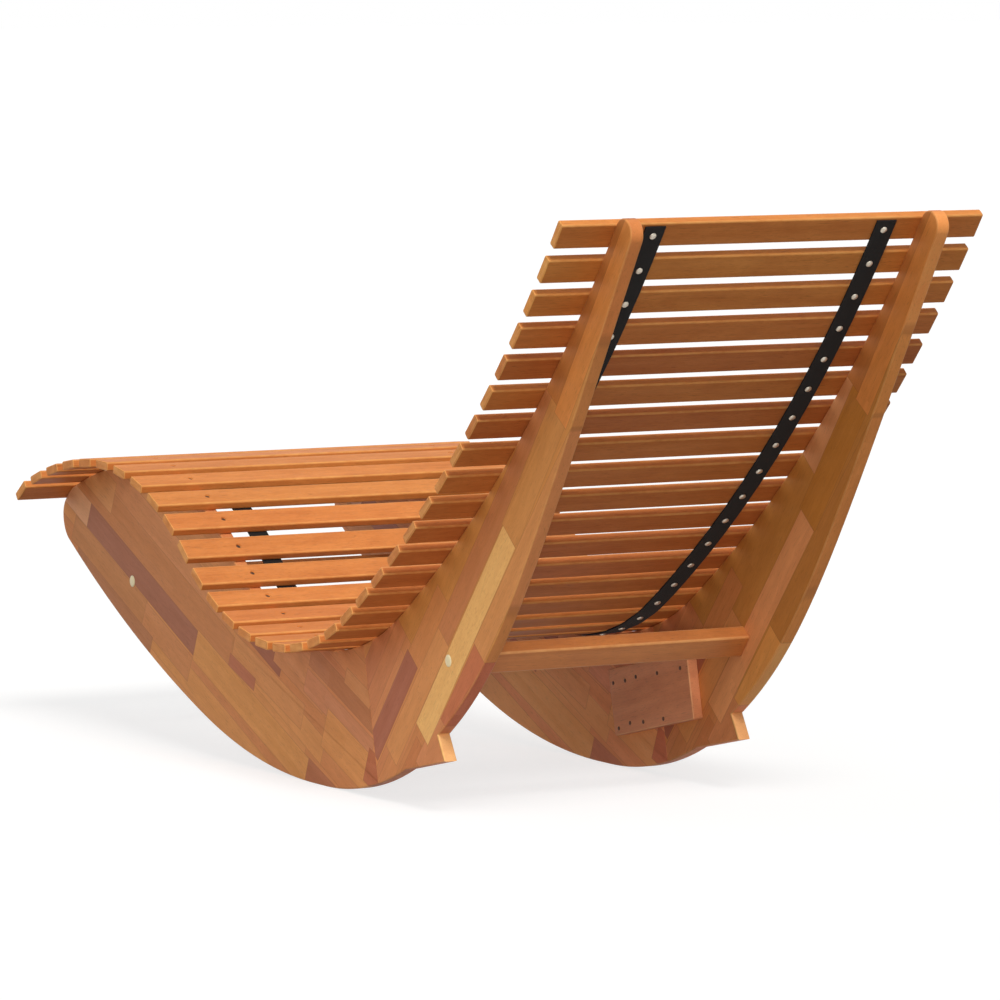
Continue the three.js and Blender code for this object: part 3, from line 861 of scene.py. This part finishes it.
# Closed outline moved inwards by an inset per edge; a corner goes to where its two moved edges
# meet, and on a straight stretch to the mean of the two insets
def insetOutline(outline, insets, straightBelow=0.02):
    ahead = np.roll(outline, -1, axis=0) - outline
    ahead /= np.linalg.norm(ahead, axis=1)[:, None]
    inward = np.stack([-ahead[:, 1], ahead[:, 0]], axis=1)
    before, beforeInsets = np.roll(inward, 1, axis=0), np.roll(insets, 1)
    cross = before[:, 0] * inward[:, 1] - before[:, 1] * inward[:, 0]
    straight = np.abs(cross) < straightBelow
    safe = np.where(straight, 1, cross)
    corner = np.stack([beforeInsets * inward[:, 1] - insets * before[:, 1],
                       insets * before[:, 0] - beforeInsets * inward[:, 0]], axis=1) / safe[:, None]
    middle = (before + inward) * ((beforeInsets + insets) / 2)[:, None]
    middle /= (1 + (before * inward).sum(axis=1))[:, None]
    return outline + np.where(straight[:, None], middle, corner)


# The four corners of each cell of a closed tube, whose rings of count points follow each other
def tubeFaces(rings, count):
    ring, spot = np.meshgrid(np.arange(rings - 1), np.arange(count), indexing="ij")
    after = (spot + 1) % count
    quads = np.stack([ring * count + spot, ring * count + after,
                      (ring + 1) * count + after, (ring + 1) * count + spot], axis=-1)
    closing = [list(range(count))[::-1], list(range((rings - 1) * count, rings * count))]
    return quads.reshape(-1, 4).tolist() + closing


# Bar across the chair with a closed outline and rounded ends. Rings run from fromX to toX:
# inset = ease * (1 - sin a), x = end + ease * (1 - cos a), a from 0 to 90 degrees.
def barAcross(outline, fromX, toX, eases, endEase, support=0.001, steps=4):
    angles = np.linspace(0, math.pi / 2, steps + 1)
    shares = np.concatenate([[1.0], 1 - np.sin(angles), [0.0]])
    extra = np.concatenate([[support], np.zeros(steps + 2)])
    depths = np.concatenate([[0.0], endEase * (1 - np.cos(angles)), [endEase + support]])
    rings = [insetOutline(outline, eases * share + more) for share, more in zip(shares, extra)]
    sections = np.stack([*rings, *rings[::-1]])
    x = np.concatenate([fromX + depths, (toX - depths)[::-1]])
    ringCount, count = sections.shape[:2]
    points = np.empty((ringCount, count, 3))
    points[..., 0] = x[:, None]
    points[..., 1:] = sections
    edge = np.concatenate([[0.0, 0.0], np.ones(steps - 1), [0.0, 0.0]])
    edge = np.repeat(np.concatenate([edge, edge[::-1]]), count)
    return points.reshape(-1, 3), tubeFaces(ringCount, count), edge


# Rectangle about the origin, counter-clockwise: each corner is centre + ease * unit(a) over a
# quarter turn, with a point on the flats beside it
def easedRectangle(wide, tall, ease, steps=5, support=0.0015):
    corners = np.array([[1, 1], [-1, 1], [-1, -1], [1, -1]])
    centres = corners * [wide / 2 - ease, tall / 2 - ease]
    angles = np.arange(4)[:, None] * math.pi / 2 + np.linspace(0, math.pi / 2, steps + 1)
    rounds = centres[:, None] + ease * unit(angles)
    before = rounds[:, :1] - support * unit(angles[:, :1] + math.pi / 2)
    after = rounds[:, -1:] + support * unit(angles[:, -1:] + math.pi / 2)
    outline = np.concatenate([before, rounds, after], axis=1).reshape(-1, 2)
    edge = np.tile(np.concatenate([[0, 0], np.ones(steps - 1), [0, 0]]), 4)
    return outline, edge


# Bar along x about the origin, an eased rectangle all along; edge is 1 where it is rounded
def easedBar(long, wide, thick, ease, endEase, **rings):
    section, sectionEdge = easedRectangle(wide, thick, ease)
    eases = np.full(len(section), endEase)
    points, faces, edge = barAcross(section, -long / 2, long / 2, eases, endEase, **rings)
    return points, faces, np.maximum(edge, np.tile(sectionEdge, len(points) // len(section)))


# Side-plane rows turned by an angle: (y cos a - z sin a, y sin a + z cos a)
def turnRows(rows, angle):
    y, z = rows[:, 0], rows[:, 1]
    return np.stack([y * math.cos(angle) - z * math.sin(angle),
                     y * math.sin(angle) + z * math.cos(angle)], axis=1)


# Points turned in the side plane by a pose's lean, and moved to its centre
def setInPlace(points, pose):
    centre, lean = pose
    placed = points.copy()
    placed[:, 1:] = turnRows(points[:, 1:], lean) + centre
    return placed


def meshPoints(mesh):
    points = np.empty(len(mesh.vertices) * 3)
    mesh.vertices.foreach_get("co", points)
    return points.reshape(-1, 3)


# Centre and lean of a CAD bar, from its own points: the long axis of their spread in the side plane
def barPose(node):
    points = np.unique(meshPoints(nodes[node].data).round(6), axis=0)[:, 1:]
    centre = points.mean(axis=0)
    spread = points - centre
    long = np.linalg.eigh(spread.T @ spread)[1][:, 1]
    return centre, math.atan(math.tan(math.atan2(long[1], long[0])))


# Middle of a CAD node's box, in the side plane
def nodeCentre(node):
    low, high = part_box(node)
    return np.array([(low[1] + high[1]) / 2, (low[2] + high[2]) / 2])


# A number, or a row of three, for each point of a mesh; its material reads it by name
def addAttribute(mesh, name, values):
    if np.ndim(values) == 0:
        values = np.full(len(mesh.vertices), values)
    kind, field = ("FLOAT_VECTOR", "vector") if np.ndim(values) == 2 else ("FLOAT", "value")
    values = np.ascontiguousarray(values, dtype=np.float32).ravel()
    mesh.attributes.new(name, kind, "POINT").data.foreach_set(field, values)


# Edges sharper than this many degrees stay sharp
smoothBelow = {"wood": 40.0, "screws": 30.0}


def addMesh(name, points, faces, material, smooth=smoothBelow["wood"], **attributes):
    mesh = bpy.data.meshes.new(name)
    mesh.from_pydata(np.asarray(points).tolist(), [], faces)
    for key, values in attributes.items():
        addAttribute(mesh, key, values)
    mesh.shade_smooth()
    mesh.set_sharp_from_angle(angle=math.radians(smooth))
    mesh.materials.append(material)
    piece = bpy.data.objects.new(name, mesh)
    scene.collection.objects.link(piece)
    return piece


# A bar's mesh moved from the origin to its pose. It keeps its own coordinates for the grain.
def layBar(mesh, pose, tone):
    points = meshPoints(mesh)
    addAttribute(mesh, "local", points)
    addAttribute(mesh, "tone", tone)
    mesh.vertices.foreach_set("co", setInPlace(points, pose).ravel())
    mesh.set_sharp_from_angle(angle=math.radians(smoothBelow["wood"]))


def keep(piece, slotName, *replaced):
    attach(piece, "root")
    if replaced:
        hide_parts(*replaced)
    return piece


# Round cutter along x between two circles, centre + radius * unit(a); radius may be a pair
def roundCutter(radius, fromX, toX, centre, facets):
    angles = np.linspace(0, 2 * math.pi, facets, endpoint=False)
    points = np.empty((2, facets, 3))
    points[..., 0] = np.array([fromX, toX])[:, None]
    points[..., 1:] = np.array(centre) + np.broadcast_to(radius, 2)[:, None, None] * unit(angles)
    return points.reshape(-1, 3), tubeFaces(2, facets)


# The same cutter along z, at (x, y) = centre
def uprightCutter(radius, fromZ, toZ, centre, facets):
    points, faces = roundCutter(radius, fromZ, toZ, centre, facets)
    return points[:, [1, 2, 0]], faces


def cutAway(piece, cutters):
    for points, faces in cutters:
        mesh = bpy.data.meshes.new("cutter")
        mesh.from_pydata(points.tolist(), [], faces)
        cutter = bpy.data.objects.new("cutter", mesh)
        scene.collection.objects.link(cutter)
        change = piece.modifiers.new("cut", "BOOLEAN")
        change.operation, change.solver, change.object = "DIFFERENCE", "EXACT", cutter
        bpy.context.view_layer.update()
        graph = bpy.context.evaluated_depsgraph_get()
        result = bpy.data.meshes.new_from_object(piece.evaluated_get(graph))
        piece.modifiers.clear()
        old, piece.data = piece.data, result
        result.name = piece.name
        bpy.data.meshes.remove(old)
        bpy.data.objects.remove(cutter)
        bpy.data.meshes.remove(mesh)


# Boards: bored for the bolts, with a wider pocket for each cap
boardCuts = {"shank": 0.0033, "cap": 0.0083, "deep": 0.0075, "past": 0.002, "facets": 48}


def makeBoard(sideName, endName, wood):
    side, cuts = sides[sideName], boardCuts
    outer, inner = frameSizes["outerFace"], frameSizes["outerFace"] - frameSizes["thick"]
    fromX, toX = sorted((side * inner, side * outer))
    outline, cut = cutOutline(wholeOutline, ends[endName], frameSizes["mitreGap"] / 2)
    onMitre = cut & np.roll(cut, -1)
    eases = np.where(onMitre, frameSizes["mitreEase"], frameSizes["ease"])
    points, faces, edge = barAcross(outline, fromX, toX, eases, frameSizes["ease"])
    board = addMesh(f"{sideName}_{endName}_board_wood", points, faces, wood, edge=edge)
    centre = nodeCentre(f"{sideName}_{endName}_cap")
    pocket = sorted((side * (outer - cuts["deep"]), side * (outer + cuts["past"])))
    cutAway(board, [
        roundCutter(cuts["shank"], fromX - cuts["past"], toX + cuts["past"], centre, cuts["facets"]),
        roundCutter(cuts["cap"], *pocket, centre, cuts["facets"])])
    board.data.set_sharp_from_angle(angle=math.radians(smoothBelow["wood"]))
    keep(board, "frame_wood", f"{sideName}_{endName}_board")


for sideName in sides:
    makeBoard(sideName, "front", frontWood)
    makeBoard(sideName, "rear", rearWood)
print("boards made")

# Slats: one bar with a countersunk screw hole near each end, copied to each slat's place.
# The head slats are the lightest; the rest of the back is darker and redder, a painted shade for the
# back slats, whose undersides face away from the lamps.
slatSizes = {
    "long": 0.600,
    "wide": 0.036,
    "thick": 0.012,
    "ease": 0.0025,
    "endEase": 0.0012,
    "endSupport": 0.0008,
    "endSteps": 3,
    "screwX": 0.2175,
    "holeRadius": 0.0038,
    "holeFloorShare": 0.8,
    "holeMouthShare": 1.25,
    "holeDeep": 0.002,
    "holePastShare": 0.6,
    "holeFacets": 20,
    "headSlats": 4,
    "backSlats": 20,
    "headTone": 0.6,
    # darker tone for the back slats: painted shade
    "shadedBackTone": 0.05,
    "seatTone": 0.35,
    "toneSpread": 0.4,
    "seed": 7,
}


def makeSlatShape():
    s = slatSizes
    points, faces, edge = easedBar(s["long"], s["wide"], s["thick"], s["ease"], s["endEase"],
                                   support=s["endSupport"], steps=s["endSteps"])
    bar = addMesh("slatShape", points, faces, slatWood, edge=edge)
    radii = (s["holeRadius"] * s["holeFloorShare"], s["holeRadius"] * s["holeMouthShare"])
    bottom = s["thick"] / 2 - s["holeDeep"]
    top = s["thick"] / 2 + s["holeDeep"] * s["holePastShare"]
    cutAway(bar, [uprightCutter(radii, bottom, top, (x, 0.0), s["holeFacets"])
                  for x in (-s["screwX"], s["screwX"])])
    return bar


def makeSlats(poses):
    s = slatSizes
    shape = makeSlatShape()
    order = np.arange(len(poses))
    # the back slats take the darker tone: painted shade
    onBack = np.where(order < s["backSlats"], s["shadedBackTone"], s["seatTone"])
    tones = np.where(order < s["headSlats"], s["headTone"], onBack)
    tones = tones + s["toneSpread"] * np.random.default_rng(s["seed"]).random(len(poses))
    for (name, pose), tone in zip(poses.items(), tones):
        mesh = shape.data.copy()
        mesh.name = f"{name}_wood"
        layBar(mesh, pose, tone)
        slat = bpy.data.objects.new(f"{name}_wood", mesh)
        scene.collection.objects.link(slat)
        keep(slat, "slat_wood", name)
    bpy.data.objects.remove(shape)


slatPoses = {name: barPose(name) for name in sorted(nodes) if name.startswith("slat_")}
makeSlats(slatPoses)
print("slats made:", len(slatPoses))

# Gussets and stretchers, each ending a small gap from the boards' inner faces
gussetSizes = {
    "long": 0.208,
    "tall": 0.089,
    "thick": 0.015,
    "corner": 0.003,
    "ease": 0.0015,
    "gap": 0.0003,
    "tone": 0.3,
    "toneStep": 0.2,
}
stretcherSizes = {
    "wide": 0.036,
    "thick": 0.022,
    "ease": 0.003,
    "endEase": 0.0015,
    "boltHole": 0.0033,
    "nutHole": 0.0053,
    "nutInset": 0.030,
    "nutLong": 0.016,
    "nutGap": 0.0003,
    "boltLong": 0.040,
    "past": 0.002,
    "facets": 32,
    "tones": {"front": 0.35, "rear": 0.65},
}
innerReach = frameSizes["outerFace"] - frameSizes["thick"] - gussetSizes["gap"]


def makeGusset(sideName):
    side, s = sides[sideName], gussetSizes
    section, _ = easedRectangle(s["long"], s["tall"], s["corner"])
    fromX, toX = sorted((side * innerReach, side * (innerReach - s["thick"])))
    eases = np.full(len(section), s["ease"])
    points, faces, edge = barAcross(section, fromX, toX, eases, s["ease"])
    placed = setInPlace(points, barPose(f"{sideName}_gusset"))
    gusset = addMesh(f"{sideName}_gusset_wood", placed, faces, gussetWood, edge=edge,
                     local=points[:, [1, 2, 0]], tone=s["tone"] + s["toneStep"] * side)
    keep(gusset, "frame_wood", f"{sideName}_gusset")


def makeStretcher(endName):
    s = stretcherSizes
    points, faces, edge = easedBar(2 * innerReach, s["wide"], s["thick"], s["ease"], s["endEase"])
    stretcher = addMesh(f"{endName}_stretcher_wood", points, faces, stretcherWood, edge=edge)
    cutters = []
    for side in sides.values():
        bore = sorted((side * (innerReach + s["past"]), side * (innerReach - s["boltLong"])))
        cutters.append(roundCutter(s["boltHole"], *bore, (0.0, 0.0), s["facets"]))
        nutBottom, nutTop = -s["nutLong"] / 2 - s["nutGap"], s["thick"] / 2 + s["past"]
        nutCentre = (side * (innerReach - s["nutInset"]), 0.0)
        cutters.append(uprightCutter(s["nutHole"], nutBottom, nutTop, nutCentre, s["facets"]))
    cutAway(stretcher, cutters)
    layBar(stretcher.data, barPose(f"{endName}_stretcher"), s["tones"][endName])
    keep(stretcher, "frame_wood", f"{endName}_stretcher")


for sideName in sides:
    makeGusset(sideName)
for endName in ends:
    makeStretcher(endName)
print("gussets and stretchers made")

# Straps: a woven ribbon under the slats, carried along their undersides
strapSizes = {
    "wide": 0.028,
    "thick": 0.0018,
    "gap": 0.0003,
    "endIn": 0.004,
    "acrossSteps": 6,
    "left": 0.170,
    "right": -0.159,
}


# Head corner, middle and foot corner of each slat's underside in turn, a drop below it:
# the slat's centre + its own (half width, height) turned by its lean
def slatUndersides(drop):
    half, low = slatSizes["wide"] / 2, -slatSizes["thick"] / 2 - drop
    rows = []
    for index, (centre, lean) in enumerate(slatPoses.values()):
        headIn = strapSizes["endIn"] if index == 0 else 0.0
        footIn = strapSizes["endIn"] if index == len(slatPoses) - 1 else 0.0
        offsets = np.array([[half - headIn, low], [0.0, low], [-half + footIn, low]])
        rows.append(turnRows(offsets, lean) + centre)
    return np.vstack(rows)


# One quad for each cell of a grid of point numbers
def gridFaces(grid, flip):
    cells = np.stack([grid[:-1, :-1], grid[:-1, 1:], grid[1:, 1:], grid[1:, :-1]], axis=-1)
    return (cells[..., ::-1] if flip else cells).reshape(-1, 4)


# Flat ribbon: point (row, column) of each face is at x = centre + width * share of the column,
# with (y, z) from the row of its path. Its UV is the distance across and the distance along.
def makeStrap(sideName, top, bottom):
    s = strapSizes
    shares = np.linspace(-0.5, 0.5, s["acrossSteps"] + 1)
    shape = (2, len(top), len(shares))
    points = np.empty((*shape, 3))
    points[..., 0] = s[sideName] + s["wide"] * shares
    points[0, ..., 1:] = top[:, None]
    points[1, ..., 1:] = bottom[:, None]
    index = np.arange(math.prod(shape)).reshape(shape)
    faces = np.vstack([
        gridFaces(index[0], True), gridFaces(index[1], False),
        gridFaces(index[:, :, 0].T, False), gridFaces(index[:, :, -1].T, True),
        gridFaces(index[:, 0, :], False), gridFaces(index[:, -1, :], True)])
    strap = addMesh(f"{sideName}_strap_webbing", points.reshape(-1, 3), faces.tolist(), webbing)
    uvGrid = np.empty((*shape, 2))
    uvGrid[..., 0] = s["wide"] * shares
    uvGrid[..., 1] = lengthsAlong(top)[:, None]
    corners = np.empty(len(strap.data.loops), np.int64)
    strap.data.loops.foreach_get("vertex_index", corners)
    layer = strap.data.uv_layers.new(name="strapUV")
    layer.data.foreach_set("uv", uvGrid.reshape(-1, 2)[corners].ravel())
    keep(strap, "webbing", f"{sideName}_strap")


for sideName in sides:
    makeStrap(sideName, slatUndersides(strapSizes["gap"]),
              slatUndersides(strapSizes["gap"] + strapSizes["thick"]))
print("straps made")


# Round part about z: each profile row (radius, height) is a ring of radius * unit(a)
def latheShape(profile, facets):
    angles = np.linspace(0, 2 * math.pi, facets, endpoint=False)
    profile = np.array(profile)
    rings = np.empty((len(profile), facets, 3))
    rings[..., :2] = profile[:, None, :1] * unit(angles)
    rings[..., 2] = profile[:, None, 1]
    return rings.reshape(-1, 3), tubeFaces(len(profile), facets)


# Copies of one shape: each is axes @ point + centre. An axes matrix holds, as columns, the
# directions that the shape's x, y and z take.
def copies(points, faces, centres, axes):
    placed = np.einsum("nij,pj->npi", axes, points) + centres[:, None]
    count = len(points)
    allFaces = [[corner + count * number for corner in face]
                for number in range(len(centres)) for face in faces]
    return placed.reshape(-1, 3), allFaces


# Axes for parts whose z looks along directions in the side plane
def sideAxes(angles):
    out = unit(angles)
    axes = np.zeros((len(out), 3, 3))
    axes[:, 0, 0] = 1.0
    axes[:, 1, 1], axes[:, 2, 1] = out[:, 1], -out[:, 0]
    axes[:, 1, 2], axes[:, 2, 2] = out[:, 0], out[:, 1]
    return axes


# Axes for parts whose z looks to the left, with way 1, or to the right, with way -1
def crossAxes(count, way):
    axes = np.zeros((count, 3, 3))
    axes[:, 1, 0], axes[:, 2, 1], axes[:, 0, 2] = 1.0, way, way
    return axes


# A row of places at x, one for each slat: the slat's centre + height * unit(its direction)
def slatSpots(x, height, directions):
    centres = np.array([centre for centre, _ in slatPoses.values()])
    spots = centres + height * unit(directions)
    return np.column_stack([np.full(len(spots), x), spots])


def addFasteners(name, shape, centres, axes, material, smooth):
    points, faces = copies(*shape, centres, axes)
    keep(addMesh(name, points, faces, material, smooth), "hardware_steel")


# Rivets through strap and slat, with domed heads:
# (radius cos a, rim + rise sin a), up to a little short of the pole
rivetSizes = {"radius": 0.0046, "rise": 0.0016, "rim": 0.0004, "domeShare": 0.96, "domeSteps": 5,
              "facets": 16}


def makeRivets(sideName):
    s = rivetSizes
    dome = np.linspace(0, math.pi / 2 * s["domeShare"], s["domeSteps"] + 1)
    profile = [(s["radius"], 0.0), (s["radius"], s["rim"])] + [
        (s["radius"] * math.cos(a), s["rim"] + s["rise"] * math.sin(a)) for a in dome[1:]]
    under = slatSizes["thick"] / 2 + strapSizes["gap"] + strapSizes["thick"]
    downward = slatLeans - math.pi / 2
    addFasteners(f"{sideName}_strap_rivets", latheShape(profile, s["facets"]),
                 slatSpots(strapSizes[sideName], under, downward), sideAxes(downward), rivetMetal,
                 smoothBelow["wood"])


# Screw in each hole of the slats, sunk below their faces, with a round socket
screwSizes = {
    "radius": 0.003,
    "below": 0.0016,
    "sink": 0.0004,
    "rise": 0.0003,
    "faceShare": 0.8,
    "socket": 0.0013,
    "socketDeep": 0.0004,
    "socketShare": 0.85,
    "facets": 12,
}


def makeSlatScrews(sideName):
    s = screwSizes
    profile = [(s["radius"], -s["sink"]), (s["radius"], 0.0),
               (s["radius"] * s["faceShare"], s["rise"]), (s["socket"], s["rise"]),
               (s["socket"] * s["socketShare"], s["rise"] - s["socketDeep"])]
    x = sides[sideName] * slatSizes["screwX"]
    upward = slatLeans + math.pi / 2
    addFasteners(f"{sideName}_slat_screws", latheShape(profile, s["facets"]),
                 slatSpots(x, slatSizes["thick"] / 2 - s["below"], upward), sideAxes(upward),
                 screwMetal, smoothBelow["screws"])


# Gusset screws, at (y, z) places on the face that looks into the chair
gussetScrewSizes = {
    "radius": 0.0028,
    "sink": 0.0004,
    "rim": 0.0003,
    "face": 0.0022,
    "rise": 0.0006,
    "socket": 0.0012,
    "socketFloor": 0.001,
    "floorHeight": 0.0002,
    "facets": 14,
    "places": [
        (0.0377, 0.1144), (0.0688, 0.1211), (0.0968, 0.1291), (0.1519, 0.1399), (0.2112, 0.1528),
        (0.0527, 0.0549), (0.0822, 0.0655), (0.1167, 0.0710), (0.1685, 0.0809)],
}


def makeGussetScrews(sideName):
    side, s = sides[sideName], gussetScrewSizes
    profile = [(s["radius"], -s["sink"]), (s["radius"], s["rim"]), (s["face"], s["rise"]),
               (s["socket"], s["rise"]), (s["socketFloor"], s["floorHeight"])]
    faceX = side * (innerReach - gussetSizes["thick"])
    centres = np.array([(faceX, y, z) for y, z in s["places"]])
    addFasteners(f"{sideName}_gusset_screws", latheShape(profile, s["facets"]), centres,
                 crossAxes(len(centres), -side), screwMetal, smoothBelow["screws"])


# Caps over the bolts. The top swells from the rim to the middle:
# (radius * (1 - swellShare t) - rimIn, proud * (1 - (1-t)^2))
capSizes = {
    "radius": 0.008,
    "proud": 0.0008,
    "deep": 0.0034,
    "rimBelow": 0.0002,
    "rimIn": 0.0001,
    "swellShare": 0.28,
    "swellSteps": 6,
    "flatShare": 0.35,
    "tipShare": 0.02,
    "facets": 40,
    "tone": 0.2,
    "endTones": {"front": 0.0, "rear": 0.3},
    "sideTone": 0.1,
}


def makeCap(sideName, endName):
    side, s = sides[sideName], capSizes
    swell = [(s["radius"] * (1 - s["swellShare"] * t) - s["rimIn"], s["proud"] * (1 - (1 - t) ** 2))
             for t in np.linspace(0, 1, s["swellSteps"] + 1)]
    profile = [(s["radius"], -s["deep"]), (s["radius"], -s["rimBelow"]), *swell,
               (s["radius"] * s["flatShare"], s["proud"]), (s["radius"] * s["tipShare"], s["proud"])]
    points, faces = latheShape(profile, s["facets"])
    node = f"{sideName}_{endName}_cap"
    centre = np.array([[side * frameSizes["outerFace"], *nodeCentre(node)]])
    placed, faces = copies(points, faces, centre, crossAxes(1, side))
    cap = addMesh(f"{node}_wood", placed, faces, capWood, local=points[:, [1, 0, 2]],
                  tone=s["tone"] + s["endTones"][endName] + s["sideTone"] * side)
    keep(cap, "cap_wood", node)


slatLeans = np.array([lean for _, lean in slatPoses.values()])
for makeKind in (makeRivets, makeSlatScrews, makeGussetScrews):
    for sideName in sides:
        makeKind(sideName)
for sideName in sides:
    for endName in ends:
        makeCap(sideName, endName)
        for kind in ("bolt", "barrel_nut"):
            metalPart = nodes[f"{sideName}_{endName}_{kind}"]
            metalPart.data.materials.clear()
            metalPart.data.materials.append(boltMetal)
print("rivets, screws and caps made")

# Floor, lamps and background
lampSizes = {
    "key": {"energy": 2.1, "angle": 22.0, "from": (0.12, 0.62, 0.77)},
    "footSide": {"energy": 0.76, "angle": 50.0, "from": (0.85, -0.50, 0.15)},
    "headSide": {"energy": 0.56, "angle": 60.0, "from": (0.70, 0.70, 0.12)},
}
lowSpot = {
    "energy": 430.0,
    "place": (3.0, 5.25, 0.62),
    "aim": (0.0, 0.05, 0.05),
    "cone": 9.6,
    "radius": 0.35,
    "blend": 1.0,
}
floorSizes = {
    "half": 60.0,
    "seen": "#9E9D9B",
    "bounce": "#8A8886",
    "glow": 0.74,
    "mottle": {"scale": 3.0, "detail": 3.0, "levels": (0.3, 0.7, 0.97, 1.0)},
    "roughness": 0.9,
}
sky = 0.28


# 1 for what the camera sees, also through a reflection, and 0 for the light that reaches the chair
def seenDirectly(tree):
    rays = addNode(tree, "ShaderNodeLightPath").outputs
    mirrored = calc("MAXIMUM", rays["Is Glossy Ray"], rays["Is Transmission Ray"])
    return calc("MAXIMUM", rays["Is Camera Ray"], mirrored)


def makeFloor():
    s = floorSizes
    material, tree, shader = newMaterial("floorPaint")
    mottle = noise(objectPlace(tree), **s["mottle"])
    seen = seenDirectly(tree)
    paint = mixColour(seen, colour(s["bounce"]), colour(s["seen"]))
    feed(shader, {
        "Base Color": tinted(paint, combine(mottle, mottle, mottle)),
        "Emission Color": mixColour(seen, black, opaque([s["glow"]] * 3)),
        "Emission Strength": 1.0,
        "Roughness": s["roughness"],
        "Specular IOR Level": 0.0})
    half = s["half"]
    points = [(-half, -half, 0), (half, -half, 0), (half, half, 0), (-half, half, 0)]
    addMesh("floor", points, [[0, 1, 2, 3]], material)


# A lamp that shines from a direction, and stands at a place if it is a spot
def addLamp(name, kind, comesFrom, place=(0, 0, 0), **settings):
    data = bpy.data.lights.new(name, kind)
    for key, value in settings.items():
        setattr(data, key, value)
    lamp = bpy.data.objects.new(name, data)
    lamp.location = place
    lamp.rotation_euler = Vector(comesFrom).to_track_quat("Z", "Y").to_euler()
    scene.collection.objects.link(lamp)


def makeWorld():
    world = bpy.data.worlds.new("world")
    world.use_nodes = True
    scene.world = world
    tree = world.node_tree
    tree.nodes.clear()
    dim, full = [addNode(tree, "ShaderNodeBackground", {"Color": white, "Strength": strength})
                 for strength in (sky, 1.0)]
    mixed = joinNode("ShaderNodeMixShader",
                     {0: seenDirectly(tree), 1: dim.outputs[0], 2: full.outputs[0]})
    joinNode("ShaderNodeOutputWorld", {"Surface": mixed.outputs[0]})


makeFloor()
for name, lamp in lampSizes.items():
    addLamp(name, "SUN", lamp["from"], energy=lamp["energy"], angle=math.radians(lamp["angle"]))
# a wide soft spot that reaches in under the seat
addLamp("low", "SPOT", Vector(lowSpot["place"]) - Vector(lowSpot["aim"]), lowSpot["place"],
        energy=lowSpot["energy"], spot_size=math.radians(lowSpot["cone"]),
        spot_blend=lowSpot["blend"], shadow_soft_size=lowSpot["radius"])
makeWorld()
scene.view_settings.view_transform = "Standard"
print("light and floor made")
